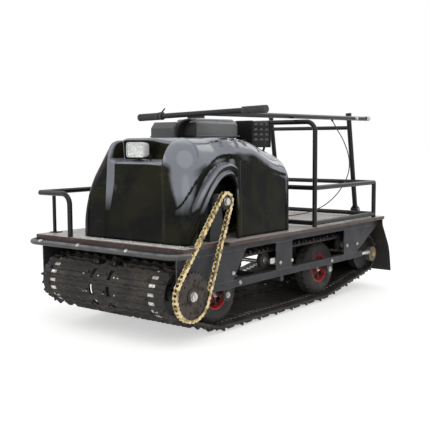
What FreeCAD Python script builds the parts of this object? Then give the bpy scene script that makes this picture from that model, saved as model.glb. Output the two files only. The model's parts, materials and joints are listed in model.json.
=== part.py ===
"""Tracked snow towing vehicle: a low deck on one wide rubber track, with a moulded
engine hood, a chain drive on the left side, a cargo rail and a folding steering pole.

Millimetres.  +Z is up, the front faces -Y and the vehicle's left side is +X.
Places are written from the middle of the deck and the ground under the track's lugs.
The finished pieces are then moved by origin_x and origin_y, so that the origin lies
on the ground below the middle of the whole machine.
"""
import FreeCAD, Part
import math
import os
import re

V = FreeCAD.Vector

SIZES = [
    # the whole machine
    ("origin_x", 77), ("origin_y", -1), ("seat_gap", 0.3), ("running_gap", 0.05),
    # deck
    ("deck_width", 860), ("deck_corner", 8), ("deck_front", -820), ("deck_rear", 770), ("deck_top", 386),
    ("board_thickness", 15), ("frame_tube", 30), ("frame_half_width", 388),
    ("notch_front", -758), ("notch_rear", -552), ("notch_gap", 7), ("notch_corner", 12),
    # side plates and lower rails
    ("plate_thickness", 5), ("rail_low", 190), ("rail_front", -620), ("rail_rear", 607),
    ("middle_plate_front", -169), ("middle_plate_rear", -44), ("rear_plate_front", 420),
    ("rear_plate_foot", 548), ("front_plate_rear", -387), ("front_plate_foot", -475),
    ("bearing_plate_radius", 62), ("brace_y", -120), ("brace_radius", 12.5),
    # track
    ("track_width", 700), ("belt_thickness", 10), ("lug_height", 20), ("lug_length", 16),
    ("lug_pitch", 64), ("wrap_radius", 86), ("drive_y", -755), ("drive_height", 200),
    ("idler_y", 728), ("idler_height", 188),
    # road wheels
    ("tyre_radius", 130), ("tyre_width", 80), ("rim_radius", 67), ("wheel_x", 281),
    ("rim_wall", 7), ("rim_hub_radius", 22), ("rim_web", 14), ("rim_windows", 5),
    ("front_wheel_y", -490), ("rear_wheel_y", 313), ("wheel_axle_radius", 10),
    ("wheel_axle_half_length", 372), ("hanger_thickness", 8), ("hanger_width", 50),
    ("carrier_radius", 34), ("carrier_front_y", -192), ("carrier_rear_y", 470), ("upper_run", 297),
    ("carrier_width", 26), ("carrier_inner_x", 320),
    ("carrier_pin_radius", 8), ("idler_wheel_width", 36), ("idler_outer_x", 300), ("idler_inner_x", 60),
    ("tensioner_radius", 38), ("rod_radius", 7),
    # drive
    ("drive_axle_radius", 15), ("drive_disc_width", 14), ("drive_disc_outer_x", 284),
    ("drive_disc_inner_x", 49), ("chain_x", 408), ("chain_pitch", 19.05),
    ("chain_width", 22), ("chain_plate_height", 16), ("large_teeth", 31), ("small_teeth", 11),
    ("sprocket_thickness", 10), ("output_y", -548), ("output_height", 546), ("output_radius", 14),
    ("output_inner_x", 262), ("roller_radius", 5.9), ("tooth_height", 3), ("chain_waist", 9),
    ("lightening_circle", 55), ("lightening_radius", 14), ("lightening_holes", 5),
    ("bearing_stand_x", 340), ("bearing_stand_width", 90),
    ("bearing_stand_thickness", 24),
    # hood
    ("hood_right", -217), ("hood_left", 384), ("hood_front", -760), ("hood_rear", -55),
    ("hood_top", 797), ("hood_wall", 6), ("nose_radius", 60), ("roof_end", -400), ("slope_end", -140),
    ("slope_drop", 60),
    ("rear_drop", 112), ("shoulder_rise", 236), ("shoulder_run", 172), ("bulge_radius", 84),
    ("pillar_radius", 60), ("panel_spread", 26), ("panel_foot", 470), ("panel_depth", 20),
    ("arch_front", -694), ("arch_rear", -438), ("arch_reach", 46),
    ("arch_corner", 34), ("arch_step", 4), ("arch_step_height", 450), ("arch_knee", 26),
    ("arch_knee_height", 486),
    ("arch_shoulder_y", -598), ("arch_shoulder_height", 588), ("arch_crown_front", -540),
    ("arch_brow_height", 640),
    ("arch_crown_rear", -478), ("arch_crown_height", 650), ("arch_nape", 8), ("arch_nape_height", 606),
    ("arch_back_height", 520), ("flare_height", 6), ("flare_margin", 44),
    ("flare_rear", -410), ("flare_foot", 90), ("slot_inner_x", 320), ("slot_outer_x", 360),
    ("slot_radius", 3),
    # engine
    ("block_right", -60), ("block_left", 250), ("block_front", -490), ("block_rear", -170),
    ("tank_right", 20), ("tank_left", 210), ("tank_front", -428), ("tank_rear", -200),
    ("tank_low", 792), ("tank_high", 870), ("cap_radius", 33), ("cap_height", 15), ("cap_notches", 8),
    ("cap_notch_radius", 5), ("tank_panel_depth", 3), ("opening_gap", 8),
    ("cleaner_right", -50), ("cleaner_left", 70), ("cleaner_front", -486), ("cleaner_high", 846),
    ("muffler_right", 160), ("muffler_left", 250), ("muffler_front", -157), ("muffler_rear", -12),
    ("muffler_low", 754), ("muffler_high", 870), ("louvres", 6), ("louvre_depth", 6), ("tank_edge", 16),
    ("exhaust_radius", 17),
    ("lamp_width", 118), ("lamp_height", 60), ("lamp_depth", 42), ("lamp_x", 110), ("lamp_front", -735),
    ("lamp_low", 720), ("lamp_edge", 10), ("lamp_rim", 6), ("ledge_height", 704), ("ledge_depth", 95),
    ("ledge_right", -30), ("ledge_left", 245),
    # tubes above the deck
    ("post_x", 410), ("hoop_y", 108), ("tube_radius", 11), ("hoop_bend", 45), ("pole_rest_gap", 5),
    ("top_rail_height", 566), ("low_rail_height", 404), ("basket_rear", 680),
    ("bumper_y", -868), ("bumper_inset", 2), ("bumper_bend", 60), ("bumper_end", -790),
    ("handrail_front", -805), ("handrail_inner", -219), ("handrail_bend", 45), ("thin_post_y", -730),
    ("thin_post_radius", 8), ("foot_plate", 40), ("foot_plate_thickness", 4),
    # steering mast and pole
    ("mast_x", 268), ("mast_far_x", -222), ("mast_foot_y", 746), ("mast_foot_height", 414),
    ("mast_lean", 9.3), ("mast_length", 500), ("mast_tube_radius", 12.5), ("mast_bar_along", 438),
    ("mast_bar_radius", 10), ("mast_eye_radius", 16), ("mast_eye_width", 22), ("pin_radius", 6),
    ("bracket_thickness", 6), ("cap_ball_radius", 15), ("cap_ball_height", 14),
    ("pole_front", -529), ("pole_rear", 824), ("pole_height", 894), ("pole_radius", 11),
    ("pole_side_gap", 5), ("bolt_length", 70), ("bar_low_x", -75), ("bar_high_x", 593), ("bar_tilt", 1.55),
    ("grip_length", 115), ("grip_radius", 15.5),
    ("flap_width", 830), ("flap_thickness", 6), ("flap_top_y", 772), ("flap_low", 84),
    ("cable_radius", 2.5), ("cable_start_y", 455), ("guide_drop", 6), ("guide_length", 14),
    ("gland_length", 10),
    ("gland_radius", 7), ("gland_x", 13), ("gland_height", 400),
    # tow hitch
    ("hitch_length", 70), ("hitch_width", 60), ("hitch_thickness", 12), ("hitch_bore", 8.5),
    ("hitch_height", 345),
]

doc = FreeCAD.newDocument("TrackedSnowTowingVehicle")
sheet = doc.addObject("Spreadsheet::Sheet", "Sizes")
for row, (alias, number) in enumerate(SIZES, start=1):
    sheet.set("A%d" % row, alias)
    sheet.set("B%d" % row, str(number))
    sheet.setAlias("B%d" % row, alias)
doc.recompute()
NAMES = [alias for alias, number in SIZES]
NODES = []


def size(alias):
    """The number that the sheet holds for this name."""
    return float(sheet.get(alias))


def bound(text):
    """An expression on plain size names, with the sheet's name put before each."""
    return re.sub(r"[a-z_]+", lambda word: "Sizes." + word.group(0) if word.group(0) in NAMES
                  else word.group(0), str(text))


def bind(item, prop, text):
    item.setExpression(prop, bound(text))


def place(item, x, y, z):
    for axis, text in zip("xyz", (x, y, z)):
        bind(item, "Placement.Base." + axis, text)


def box(name, length, width, height, x, y, z):
    """A block from its low corner."""
    item = doc.addObject("Part::Box", name)
    bind(item, "Length", length)
    bind(item, "Width", width)
    bind(item, "Height", height)
    place(item, x, y, z)
    return item


AXES = {"x": V(1, 0, 0), "y": V(0, 1, 0), "z": V(0, 0, 1)}


def cylinder(name, radius, height, axis, x, y, z):
    """A round bar that starts at x, y, z and runs along one axis."""
    item = doc.addObject("Part::Cylinder", name)
    bind(item, "Radius", radius)
    bind(item, "Height", height)
    item.Placement = FreeCAD.Placement(V(0, 0, 0), FreeCAD.Rotation(V(0, 0, 1), AXES[axis]))
    place(item, x, y, z)
    return item


def fuse(name, items):
    item = doc.addObject("Part::MultiFuse", name)
    item.Shapes = items
    return item


def cut(name, base, tool):
    item = doc.addObject("Part::Cut", name)
    item.Base = base
    item.Tool = tool
    return item


def shape(name, solid):
    """A piece whose form comes from Part's own functions."""
    item = doc.addObject("Part::Feature", name)
    item.Shape = solid
    return item


def node(label, *items):
    """Names one finished piece and moves it to the machine's own origin."""
    item = doc.addObject("Part::Compound", "Node_" + label)
    item.Links = list(items)
    item.Label = label
    bind(item, "Placement.Base.x", "-origin_x")
    bind(item, "Placement.Base.y", "-origin_y")
    NODES.append(item)
    return item


def body(label):
    """A PartDesign body that is a piece by itself."""
    item = doc.addObject("PartDesign::Body", "Body_" + label)
    item.Label = label
    bind(item, "Placement.Base.x", "-origin_x")
    bind(item, "Placement.Base.y", "-origin_y")
    NODES.append(item)
    return item


def sketch(owner, name, plane, edges, offset="0"):
    """A sketch on one of the body's origin planes, from a list of Part curves."""
    item = owner.newObject("Sketcher::SketchObject", name)
    origin = [part for part in owner.Origin.OriginFeatures if part.Role == plane][0]
    item.AttachmentSupport = [(origin, "")]
    item.MapMode = "FlatFace"
    bind(item, "AttachmentOffset.Base.z", offset)
    for edge in edges:
        item.addGeometry(edge, False)
    return item


def pad(owner, name, profile, length, reverse=False):
    item = owner.newObject("PartDesign::Pad", name)
    item.Profile = profile
    bind(item, "Length", length)
    item.Reversed = reverse
    owner.Tip = item
    return item


def pocket(owner, name, profile, length, reverse=False):
    item = owner.newObject("PartDesign::Pocket", name)
    item.Profile = profile
    bind(item, "Length", length)
    item.Reversed = reverse
    owner.Tip = item
    return item


def loop(points):
    """Straight edges through the points and back to the first."""
    vectors = [V(a, b, 0) for a, b in points]
    return [Part.LineSegment(start, end) for start, end in zip(vectors, vectors[1:] + vectors[:1])]


def rounded(points, closed=True):
    """Lines and tangent arcs through (a, b, radius) corners."""
    count = len(points)
    pieces = []
    corners = []
    for index, (a, b, radius) in enumerate(points):
        here = V(a, b, 0)
        if radius == 0 or (not closed and index in (0, count - 1)):
            corners.append((here, None, here))
            continue
        before = V(*points[index - 1][:2], 0)
        after = V(*points[(index + 1) % count][:2], 0)
        to_before = (before - here).normalize()
        to_after = (after - here).normalize()
        half = to_before.getAngle(to_after) / 2
        reach = radius / math.tan(half)
        middle = (to_before + to_after).normalize() * (radius / math.sin(half) - radius)
        corners.append((here + to_before * reach, here + middle, here + to_after * reach))
    for index, (start, mid, end) in enumerate(corners):
        if mid is not None:
            pieces.append(Part.ArcOfCircle(start, mid, end))
        if closed or index < count - 1:
            following = corners[(index + 1) % count][0]
            if (following - end).Length > 1e-6:
                pieces.append(Part.LineSegment(end, following))
    return pieces


def bent_path(points, radii):
    """A wire of straight runs joined by tangent arcs, one radius per inner point."""
    edges = []
    last = points[0]
    for before, here, after, radius in zip(points, points[1:], points[2:], radii):
        to_before = (before - here).normalize()
        to_after = (after - here).normalize()
        half = to_before.getAngle(to_after) / 2
        reach = radius / math.tan(half)
        start = here + to_before * reach
        end = here + to_after * reach
        middle = here + (to_before + to_after).normalize() * (radius / math.sin(half) - radius)
        if (start - last).Length > 1e-6:
            edges.append(Part.LineSegment(last, start).toShape())
        edges.append(Part.Arc(start, middle, end).toShape())
        last = end
    edges.append(Part.LineSegment(last, points[-1]).toShape())
    return Part.Wire(edges)


def bent_bar(points, radii, radius):
    """A round bar along a bent path."""
    path = bent_path(points, radii)
    direction = (points[1] - points[0]).normalize()
    ring = Part.Wire(Part.makeCircle(radius, points[0], direction))
    return path.makePipeShell([ring], True, False)


def outline_face(points):
    """A flat face in X and Y from (a, b, radius) corners."""
    edges = [edge.toShape() for edge in rounded(points)]
    return Part.Face(Part.Wire(Part.__sortEdges__(edges)))


def raised(face, axis, low, depth):
    """A face drawn in X and Y, stood across one axis and made solid along it."""
    if axis == "x":
        face.rotate(V(0, 0, 0), V(1, 1, 1), 120)
    if axis == "y":
        face.rotate(V(0, 0, 0), V(1, 0, 0), 90)
    face.translate(AXES[axis] * low)
    return face.extrude(AXES[axis] * depth)


def prism(points, axis, low, depth):
    """A solid of one outline: (y, z), (x, z) or (x, y) corners for the axis x, y or z."""
    return raised(outline_face(points), axis, low, depth)


def plate(points, x_low, thickness):
    """A flat plate that stands along Y and Z, from (y, z, radius) corners."""
    return prism(points, "x", x_low, thickness)


# --- deck -------------------------------------------------------------------------------

half_deck = size("deck_width") / 2
frame_half = size("frame_half_width")
board_low = size("deck_top") - size("board_thickness")
frame_low = board_low - size("frame_tube")


def make_deck():
    board = body("deck_board")
    inner = size("chain_x") - size("chain_width") / 2 - size("notch_gap")
    corner = size("deck_corner")
    turn = size("notch_corner")
    outline = rounded([
        (-half_deck, size("deck_front"), corner), (half_deck, size("deck_front"), corner),
        (half_deck, size("notch_front"), corner / 2), (inner, size("notch_front"), turn),
        (inner, size("notch_rear"), turn), (half_deck, size("notch_rear"), corner / 2),
        (half_deck, size("deck_rear"), corner), (-half_deck, size("deck_rear"), corner)])
    profile = sketch(board, "board_outline", "XY_Plane", outline, "deck_top - board_thickness")
    pad(board, "board_sheet", profile, "board_thickness")

    tubes = []
    for side, low in (("left", "frame_half_width - frame_tube"), ("right", "-frame_half_width")):
        tubes.append(box("frame_long_" + side, "frame_tube", "deck_rear - deck_front - 4", "frame_tube",
                         low, "deck_front + 2", "deck_top - board_thickness - frame_tube"))
    for name, y in (("front", "deck_front + 2"), ("middle", "front_plate_rear"), ("hoop", "hoop_y"),
                    ("rear", "deck_rear - frame_tube - 2")):
        tubes.append(box("frame_cross_" + name, "2 * frame_half_width - 2 * frame_tube", "frame_tube",
                         "frame_tube", "-frame_half_width + frame_tube", y,
                         "deck_top - board_thickness - frame_tube"))
    node("deck_frame", fuse("frame_welded", tubes))


# --- side plates, rails -------------------------------------------------------------------

rail_top = size("rail_low") + size("frame_tube")


def side_plate_shapes(x_low):
    """Front gusset with the bearing end, middle plate and rear gusset of one side."""
    radius = size("bearing_plate_radius")
    drive_y = size("drive_y")
    drive_z = size("drive_height")
    front = plate([
        (size("deck_front") + 2, frame_low, 0), (drive_y - radius, drive_z + 20, 20),
        (drive_y - radius, drive_z - radius, 45), (drive_y + radius, drive_z - radius, 45),
        (size("rail_front"), size("rail_low"), 10), (size("rail_front"), rail_top, 0),
        (size("front_plate_foot"), rail_top, 0), (size("front_plate_rear"), frame_low, 0)],
        x_low, size("plate_thickness"))
    hole = Part.makeCylinder(size("drive_axle_radius") + size("running_gap"), size("plate_thickness") + 2,
                             V(x_low - 1, drive_y, drive_z), V(1, 0, 0))
    middle = plate([
        (size("middle_plate_front"), rail_top, 0), (size("middle_plate_rear"), rail_top, 0),
        (size("middle_plate_rear"), frame_low, 0), (size("middle_plate_front"), frame_low, 0)],
        x_low, size("plate_thickness"))
    rear = plate([
        (size("rear_plate_front"), rail_top, 0), (size("rear_plate_foot"), rail_top, 12),
        (size("deck_rear") - 4, frame_low, 0), (size("rear_plate_front"), frame_low, 0)],
        x_low, size("plate_thickness"))
    return [front.cut(hole), middle, rear]


def make_sides():
    for side, sign in (("left", 1), ("right", -1)):
        outer = sign * frame_half
        x_low = outer - size("plate_thickness") if sign > 0 else outer
        names = ("front", "middle", "rear")
        pieces = [shape("plate_%s_%s" % (name, side), solid)
                  for name, solid in zip(names, side_plate_shapes(x_low))]
        node("side_plates_" + side, *pieces)
        low = "frame_half_width - frame_tube" if sign > 0 else "-frame_half_width"
        rail = box("rail_bar_" + side, "frame_tube", "rail_rear - rail_front", "frame_tube",
                   low, "rail_front", "rail_low")
        node("lower_rail_" + side, rail)
    brace = cylinder("brace_bar", "brace_radius", "2 * frame_half_width - 6", "x",
                     "-frame_half_width + 3", "brace_y", "rail_low - brace_radius")
    node("cross_brace", brace)
    tongue = box("hitch_tongue", "hitch_width", "hitch_length", "hitch_thickness",
                 "-hitch_width / 2", "deck_rear - 2", "hitch_height")
    hole = cylinder("hitch_hole", "hitch_bore", "hitch_thickness + 2", "z", "0",
                    "deck_rear + hitch_length - 2 * hitch_bore - 6", "hitch_height - 1")
    node("tow_hitch", cut("hitch_plate", tongue, hole))
    strip = box("strip_bar", "hood_left - hood_right - 20", "30", "4", "hood_right + 20", "deck_front + 18",
                "deck_top")
    node("deck_trim_strip", strip)


# --- track ------------------------------------------------------------------------------

road_height = size("lug_height") + size("belt_thickness") + size("tyre_radius") + size("seat_gap")
carrier_height = size("upper_run") - size("carrier_radius") - size("seat_gap")
WRAPS = [
    (size("drive_y"), size("drive_height"), size("wrap_radius")),
    (size("front_wheel_y"), road_height, size("tyre_radius") + size("seat_gap")),
    (size("rear_wheel_y"), road_height, size("tyre_radius") + size("seat_gap")),
    (size("idler_y"), size("idler_height"), size("wrap_radius")),
    (size("carrier_rear_y"), carrier_height, size("carrier_radius") + size("seat_gap")),
    (size("carrier_front_y"), carrier_height, size("carrier_radius") + size("seat_gap")),
]


def wrap_runs(circles):
    """The closed line of a band round circles: straight runs and arcs in turn."""
    tangents = []
    for (start, r_start), (end, r_end) in zip(circles, circles[1:] + circles[:1]):
        along = end - start
        distance = along.Length
        along.normalize()
        side = along.cross(V(1, 0, 0))
        tilt = (r_start - r_end) / distance
        normal = along * tilt + side * math.sqrt(1 - tilt * tilt)
        tangents.append((start + normal * r_start, end + normal * r_end))
    runs = []
    for index, (start, end) in enumerate(tangents):
        runs.append(Part.LineSegment(start, end).toShape())
        centre, radius = circles[(index + 1) % len(circles)]
        following = tangents[(index + 1) % len(tangents)][0]
        arrive = math.atan2(end.z - centre.z, end.y - centre.y)
        leave = math.atan2(following.z - centre.z, following.y - centre.y)
        halfway = arrive + (leave - arrive) % (2 * math.pi) / 2
        middle = centre + V(0, math.cos(halfway), math.sin(halfway)) * radius
        runs.append(Part.Arc(end, middle, following).toShape())
    return runs


def track_edges(extra):
    return wrap_runs([(V(0, y, z), radius + extra) for y, z, radius in WRAPS])


def band(outer, inner, x_low, width):
    """What lies between two closed lines, made solid along X."""
    solids = []
    for edges in (outer, inner):
        face = Part.Face(Part.Wire(edges))
        face.translate(V(x_low, 0, 0))
        solids.append(face.extrude(V(width, 0, 0)))
    return solids[0].cut(solids[1])


def stations(edges, count):
    """Points along a closed line with their outward directions, evenly spaced."""
    total = sum(edge.Length for edge in edges)
    found = []
    for index in range(count):
        ahead = total * (index + 0.5) / count
        for edge in edges:
            if ahead <= edge.Length:
                break
            ahead -= edge.Length
        parameter = edge.getParameterByLength(ahead)
        point = edge.valueAt(parameter)
        tangent = edge.tangentAt(parameter)
        found.append((point, tangent, tangent.cross(V(1, 0, 0))))
    return found


def make_track():
    half = size("track_width") / 2
    thickness = size("belt_thickness")
    outer = track_edges(thickness)
    count = round(sum(edge.Length for edge in outer) / size("lug_pitch"))
    sink = 2
    lugs = []
    for point, tangent, outward in stations(outer, count):
        base = tangent * (size("lug_length") / 2)
        top = tangent * (size("lug_length") / 2 - 3)
        foot = point - outward * sink
        head = point + outward * size("lug_height")
        corners = [foot - base, foot + base, head + top, head - top]
        face = Part.Face(Part.makePolygon(corners + corners[:1]))
        face.translate(V(-half, 0, 0))
        lugs.append(face.extrude(V(2 * half, 0, 0)))
    belt = band(outer, track_edges(0), -half, 2 * half)
    node("track", shape("track_belt", belt.fuse(lugs)))


def bar_x(radius, x_low, x_high, y, z):
    """A round bar along X."""
    return Part.makeCylinder(radius, x_high - x_low, V(x_low, y, z), V(1, 0, 0))


def tyre(x, y):
    width = size("tyre_width")
    radius = size("tyre_radius")
    rim = size("rim_radius")
    shoulder = 22
    points = [(rim, -width / 2 + 8), (radius - shoulder, -width / 2), (radius - 6, -width / 2 + 14),
              (radius, -width / 4), (radius, width / 4), (radius - 6, width / 2 - 14),
              (radius - shoulder, width / 2), (rim, width / 2 - 8)]
    vectors = [V(along, 0, out) for out, along in points]
    profile = Part.Face(Part.makePolygon(vectors + vectors[:1]))
    solid = profile.revolve(V(0, 0, 0), V(1, 0, 0), 360)
    solid.translate(V(x, y, road_height))
    return solid


def rim(x, y):
    """A moulded rim: a deep outer ring, a hub and spokes between windows."""
    half = size("tyre_width") / 2 - 10
    outer = size("rim_radius") - size("seat_gap")
    dish = outer - size("rim_wall")
    hub = size("rim_hub_radius")
    disc = bar_x(outer, x - half, x + half, y, road_height)
    web = size("rim_web") / 2
    tools = [bar_x(size("wheel_axle_radius") + size("running_gap"), x - half - 1, x + half + 1, y, road_height)]
    for low, high in ((x - half - 1, x - web), (x + web, x + half + 1)):
        ring = bar_x(dish, low, high, y, road_height)
        tools.append(ring.cut(bar_x(hub, low, high, y, road_height)))
    count = int(size("rim_windows"))
    for index in range(count):
        corners = []
        for reach, share in ((hub + 6, -0.26), (dish - 6, -0.34), (dish - 6, 0.34), (hub + 6, 0.26)):
            angle = 2 * math.pi * (index + share) / count
            corners.append(V(x - web - 1, y + reach * math.cos(angle), road_height + reach * math.sin(angle)))
        face = Part.Face(Part.makePolygon(corners + corners[:1]))
        tools.append(face.extrude(V(2 * web + 2, 0, 0)))
    return disc.cut(tools)


def make_wheels():
    reach = size("wheel_axle_half_length")
    for end in ("front", "rear"):
        y = size(end + "_wheel_y")
        tyres = []
        rims = []
        hangers = []
        for side, sign in (("left", 1), ("right", -1)):
            x = sign * size("wheel_x")
            half = size("tyre_width") / 2
            tyres.append(shape("tyre_%s_%s" % (end, side), tyre(x, y)))
            rims.append(shape("rim_%s_%s" % (end, side), rim(x, y)))
            thick = size("hanger_thickness")
            x_low = sign * (reach - 2) - (thick if sign > 0 else 0)
            round_end = size("hanger_width") / 2
            web = plate([(y - round_end, size("rail_low"), 0), (y - round_end, road_height - round_end, 20),
                         (y + round_end, road_height - round_end, 20), (y + round_end, size("rail_low"), 0)],
                        x_low, thick)
            bore = bar_x(size("wheel_axle_radius"), x_low - 1, x_low + thick + 1, y, road_height)
            hangers.append(shape("hanger_%s_%s" % (end, side), web.cut(bore)))
        node(end + "_tyres", *tyres)
        node(end + "_rims", *rims)
        node(end + "_axle", shape("axle_bar_" + end, bar_x(size("wheel_axle_radius"), -reach, reach, y,
                                                           road_height)))
        node(end + "_axle_hangers", *hangers)


def make_rollers():
    """Drive axle with its discs, idler with its tensioners, carrier rollers."""
    y = size("drive_y")
    z = size("drive_height")
    axle = size("drive_axle_radius")
    left_end = size("chain_x") + size("sprocket_thickness") / 2 + 10
    node("drive_axle", shape("drive_axle_bar", bar_x(axle, -frame_half - 6, left_end, y, z)))
    discs = []
    outer = size("drive_disc_outer_x")
    near = size("drive_disc_inner_x")
    for name, x in (("outer_left", outer), ("inner_left", near), ("inner_right", -near), ("outer_right", -outer)):
        half = size("drive_disc_width") / 2
        disc = bar_x(size("wrap_radius") - size("seat_gap"), x - half, x + half, y, z)
        hub = bar_x(2 * axle, x - 25, x + 25, y, z)
        discs.append(shape("drive_disc_" + name, disc.fuse(hub).cut(bar_x(axle, x - 30, x + 30, y, z))))
    node("drive_discs", *discs)

    y = size("idler_y")
    z = size("idler_height")
    inner = frame_half - size("frame_tube") + 4
    node("idler_axle", shape("idler_axle_bar", bar_x(size("wheel_axle_radius"), -inner, inner, y, z)))
    wheels = []
    half = size("idler_wheel_width") / 2
    outer = size("idler_outer_x")
    near = size("idler_inner_x")
    for name, x in (("left", outer), ("middle_left", near), ("middle_right", -near), ("right", -outer)):
        wheel = bar_x(size("wrap_radius") - size("seat_gap"), x - half, x + half, y, z)
        hole = bar_x(size("wheel_axle_radius"), x - half - 1, x + half + 1, y, z)
        wheels.append(shape("idler_wheel_" + name, wheel.cut(hole)))
    node("idler_wheels", *wheels)
    tensioners = []
    for name, sign in (("left", 1), ("right", -1)):
        ends = sorted((sign * inner, sign * (frame_half - 4)))
        hub = bar_x(size("tensioner_radius"), ends[0], ends[1], y, z)
        rod = Part.makeCylinder(size("rod_radius"), y - size("rail_rear") - 20,
                                V(sign * (frame_half - size("frame_tube") / 2), size("rail_rear"),
                                  size("rail_low") + 10), V(0, 1, 0))
        tensioners.append(shape("tensioner_" + name, hub.fuse(rod)))
    node("idler_tensioners", *tensioners)

    carriers = []
    wall = frame_half - size("plate_thickness")
    for end in ("front", "rear"):
        y = size("carrier_%s_y" % end)
        for name, sign in (("left", 1), ("right", -1)):
            ends = sorted((sign * size("carrier_inner_x"), sign * (size("carrier_inner_x") + size("carrier_width"))))
            roller = bar_x(size("carrier_radius"), ends[0], ends[1], y, carrier_height)
            ends = sorted((sign * (size("carrier_inner_x") + 10), sign * wall))
            pin = bar_x(size("carrier_pin_radius"), ends[0], ends[1], y, carrier_height)
            solid = roller.fuse(pin)
            if end == "front":
                ends = sorted((sign * (wall - 6), sign * wall))
                arm = Part.makeBox(6, size("middle_plate_front") + 40 - y + 12, 26,
                                   V(ends[0], y - 12, carrier_height - 13))
                solid = solid.fuse(arm)
            carriers.append(shape("carrier_%s_%s" % (end, name), solid))
    node("carrier_rollers", *carriers)


# --- chain drive ---------------------------------------------------------------------------

def pitch_radius(teeth):
    return size("chain_pitch") / (2 * math.sin(math.pi / teeth))


def chain_circles():
    small = (V(0, size("output_y"), size("output_height")), pitch_radius(size("small_teeth")))
    large = (V(0, size("drive_y"), size("drive_height")), pitch_radius(size("large_teeth")))
    return [large, small]


def chain_pins():
    """Where the chain's rollers lie: even steps of about one pitch along its closed line."""
    runs = wrap_runs(chain_circles())
    count = 2 * round(sum(edge.Length for edge in runs) / size("chain_pitch") / 2)
    return stations(runs, count)


def sprocket(teeth, bore, centre):
    """A toothed disc, turned so that the chain's rollers lie between its teeth."""
    radius = pitch_radius(teeth)
    root = radius - size("roller_radius") - size("seat_gap")
    tip = radius + size("tooth_height")
    seats = [point for point, tangent, outward in chain_pins()
             if (point - centre).Length < radius + size("seat_gap")]
    middle = seats[len(seats) // 2] - centre
    start = math.atan2(middle.z, middle.y)
    points = []
    step = math.pi / teeth
    for index in range(teeth):
        angle = start + 2 * step * index
        for share, reach in ((-0.45, root), (0.45, root), (0.88, tip), (1.12, tip)):
            turn = angle + share * step
            points.append(V(0, reach * math.cos(turn), reach * math.sin(turn)))
    face = Part.Face(Part.makePolygon(points + points[:1]))
    thick = size("sprocket_thickness")
    disc = face.extrude(V(thick, 0, 0))
    disc.translate(V(size("chain_x") - thick / 2, centre.y, centre.z))
    return disc.cut(bar_x(bore, size("chain_x") - thick, size("chain_x") + thick, centre.y, centre.z))


def waisted_ring(pins):
    """A closed row of link plates, wide at the rollers and narrow between them."""
    wide = size("chain_plate_height") / 2
    narrow = size("chain_waist") / 2
    outer = []
    inner = []
    for (point, tangent, outward), (following, onward, beyond) in zip(pins, pins[1:] + pins[:1]):
        halfway = (point + following) / 2
        aside = (outward + beyond).normalize()
        outer += [point + outward * wide, halfway + aside * narrow]
        inner += [point - outward * wide, halfway - aside * narrow]
    return Part.Face(Part.makePolygon(outer + outer[:1])).cut(Part.Face(Part.makePolygon(inner + inner[:1])))


def make_drive():
    y = size("output_y")
    z = size("output_height")
    large, small = [centre for centre, radius in chain_circles()]
    disc = sprocket(int(size("large_teeth")), size("drive_axle_radius") + size("running_gap"), large)
    reach = size("lightening_circle")
    thick = size("sprocket_thickness")
    for index in range(int(size("lightening_holes"))):
        angle = 2 * math.pi * (index + 0.5) / size("lightening_holes")
        disc = disc.cut(bar_x(size("lightening_radius"), size("chain_x") - thick, size("chain_x") + thick,
                              large.y + reach * math.cos(angle), large.z + reach * math.sin(angle)))
    node("chain_sprocket_large", shape("large_sprocket", disc))
    node("chain_sprocket_small", shape("small_sprocket", sprocket(
        int(size("small_teeth")), size("output_radius") + size("running_gap"), small)))
    node("output_shaft", shape("output_shaft_bar", bar_x(
        size("output_radius"), size("output_inner_x"), size("chain_x") + 14, y, z)))
    stand = None
    half = size("bearing_stand_width") / 2
    thick = size("bearing_stand_thickness")
    for x_low in (size("output_inner_x") + 8, size("bearing_stand_x")):
        cheek = plate([(y - half, size("deck_top"), 0), (y - half / 2, z + 28, 22),
                       (y + half / 2, z + 28, 22), (y + half, size("deck_top"), 0)], x_low, thick)
        stand = cheek if stand is None else stand.fuse(cheek)
    foot = Part.makeBox(size("bearing_stand_x") - size("output_inner_x"), 2 * half, 8,
                        V(size("output_inner_x") + 8, y - half, size("deck_top")))
    bore = bar_x(size("output_radius") + size("running_gap"), 200, 400, y, z)
    node("shaft_stand", shape("shaft_stand_welded", stand.fuse(foot).cut(bore)))
    pins = chain_pins()
    gap = size("sprocket_thickness") / 2 + size("seat_gap")
    wide = size("chain_width") / 2
    row = waisted_ring(pins)
    links = []
    for low in (-wide, gap):
        plates = row.copy()
        plates.translate(V(size("chain_x") + low, 0, 0))
        links.append(plates.extrude(V(wide - gap, 0, 0)))
    for point, tangent, outward in pins:
        corners = []
        for index in range(7):
            angle = math.pi * index / 3
            corners.append(point + (tangent * math.cos(angle) + outward * math.sin(angle)) * size("roller_radius"))
        roller = Part.Face(Part.makePolygon(corners))
        roller.translate(V(size("chain_x") - gap - 1, 0, 0))
        links.append(roller.extrude(V(2 * gap + 2, 0, 0)))
    node("drive_chain", shape("chain_links", links[0].fuse(links[1:])))


# --- hood and engine --------------------------------------------------------------------------

def hood_form(inset):
    """The hood's outside, or its inside when inset: what its three outlines have in common."""
    right = size("hood_right") + inset
    left = size("hood_left") - inset
    front = size("hood_front") + inset
    rear = size("hood_rear") - inset
    top = size("hood_top") - inset
    low = size("deck_top") + size("seat_gap") - inset
    from_side = prism([
        (front, low, 0), (front, top, size("nose_radius")), (size("roof_end"), top, 250),
        (size("slope_end"), top - size("slope_drop"), 60), (rear, top - size("rear_drop"), 30),
        (rear, low, 0)], "x", right, left - right)
    from_front = prism([
        (right, low, 0), (right, top - size("shoulder_rise"), 80), (right + size("shoulder_run"), top, 70),
        (left, top, size("bulge_radius")), (left, low, 0)], "y", front - 1, rear - front + 2)
    from_above = prism([
        (right, front, size("pillar_radius")), (left, front, 30), (left, rear, 50),
        (right, rear, size("pillar_radius"))], "z", low - 1, top - low + 2)
    return from_side.common(from_front).common(from_above)


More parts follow.
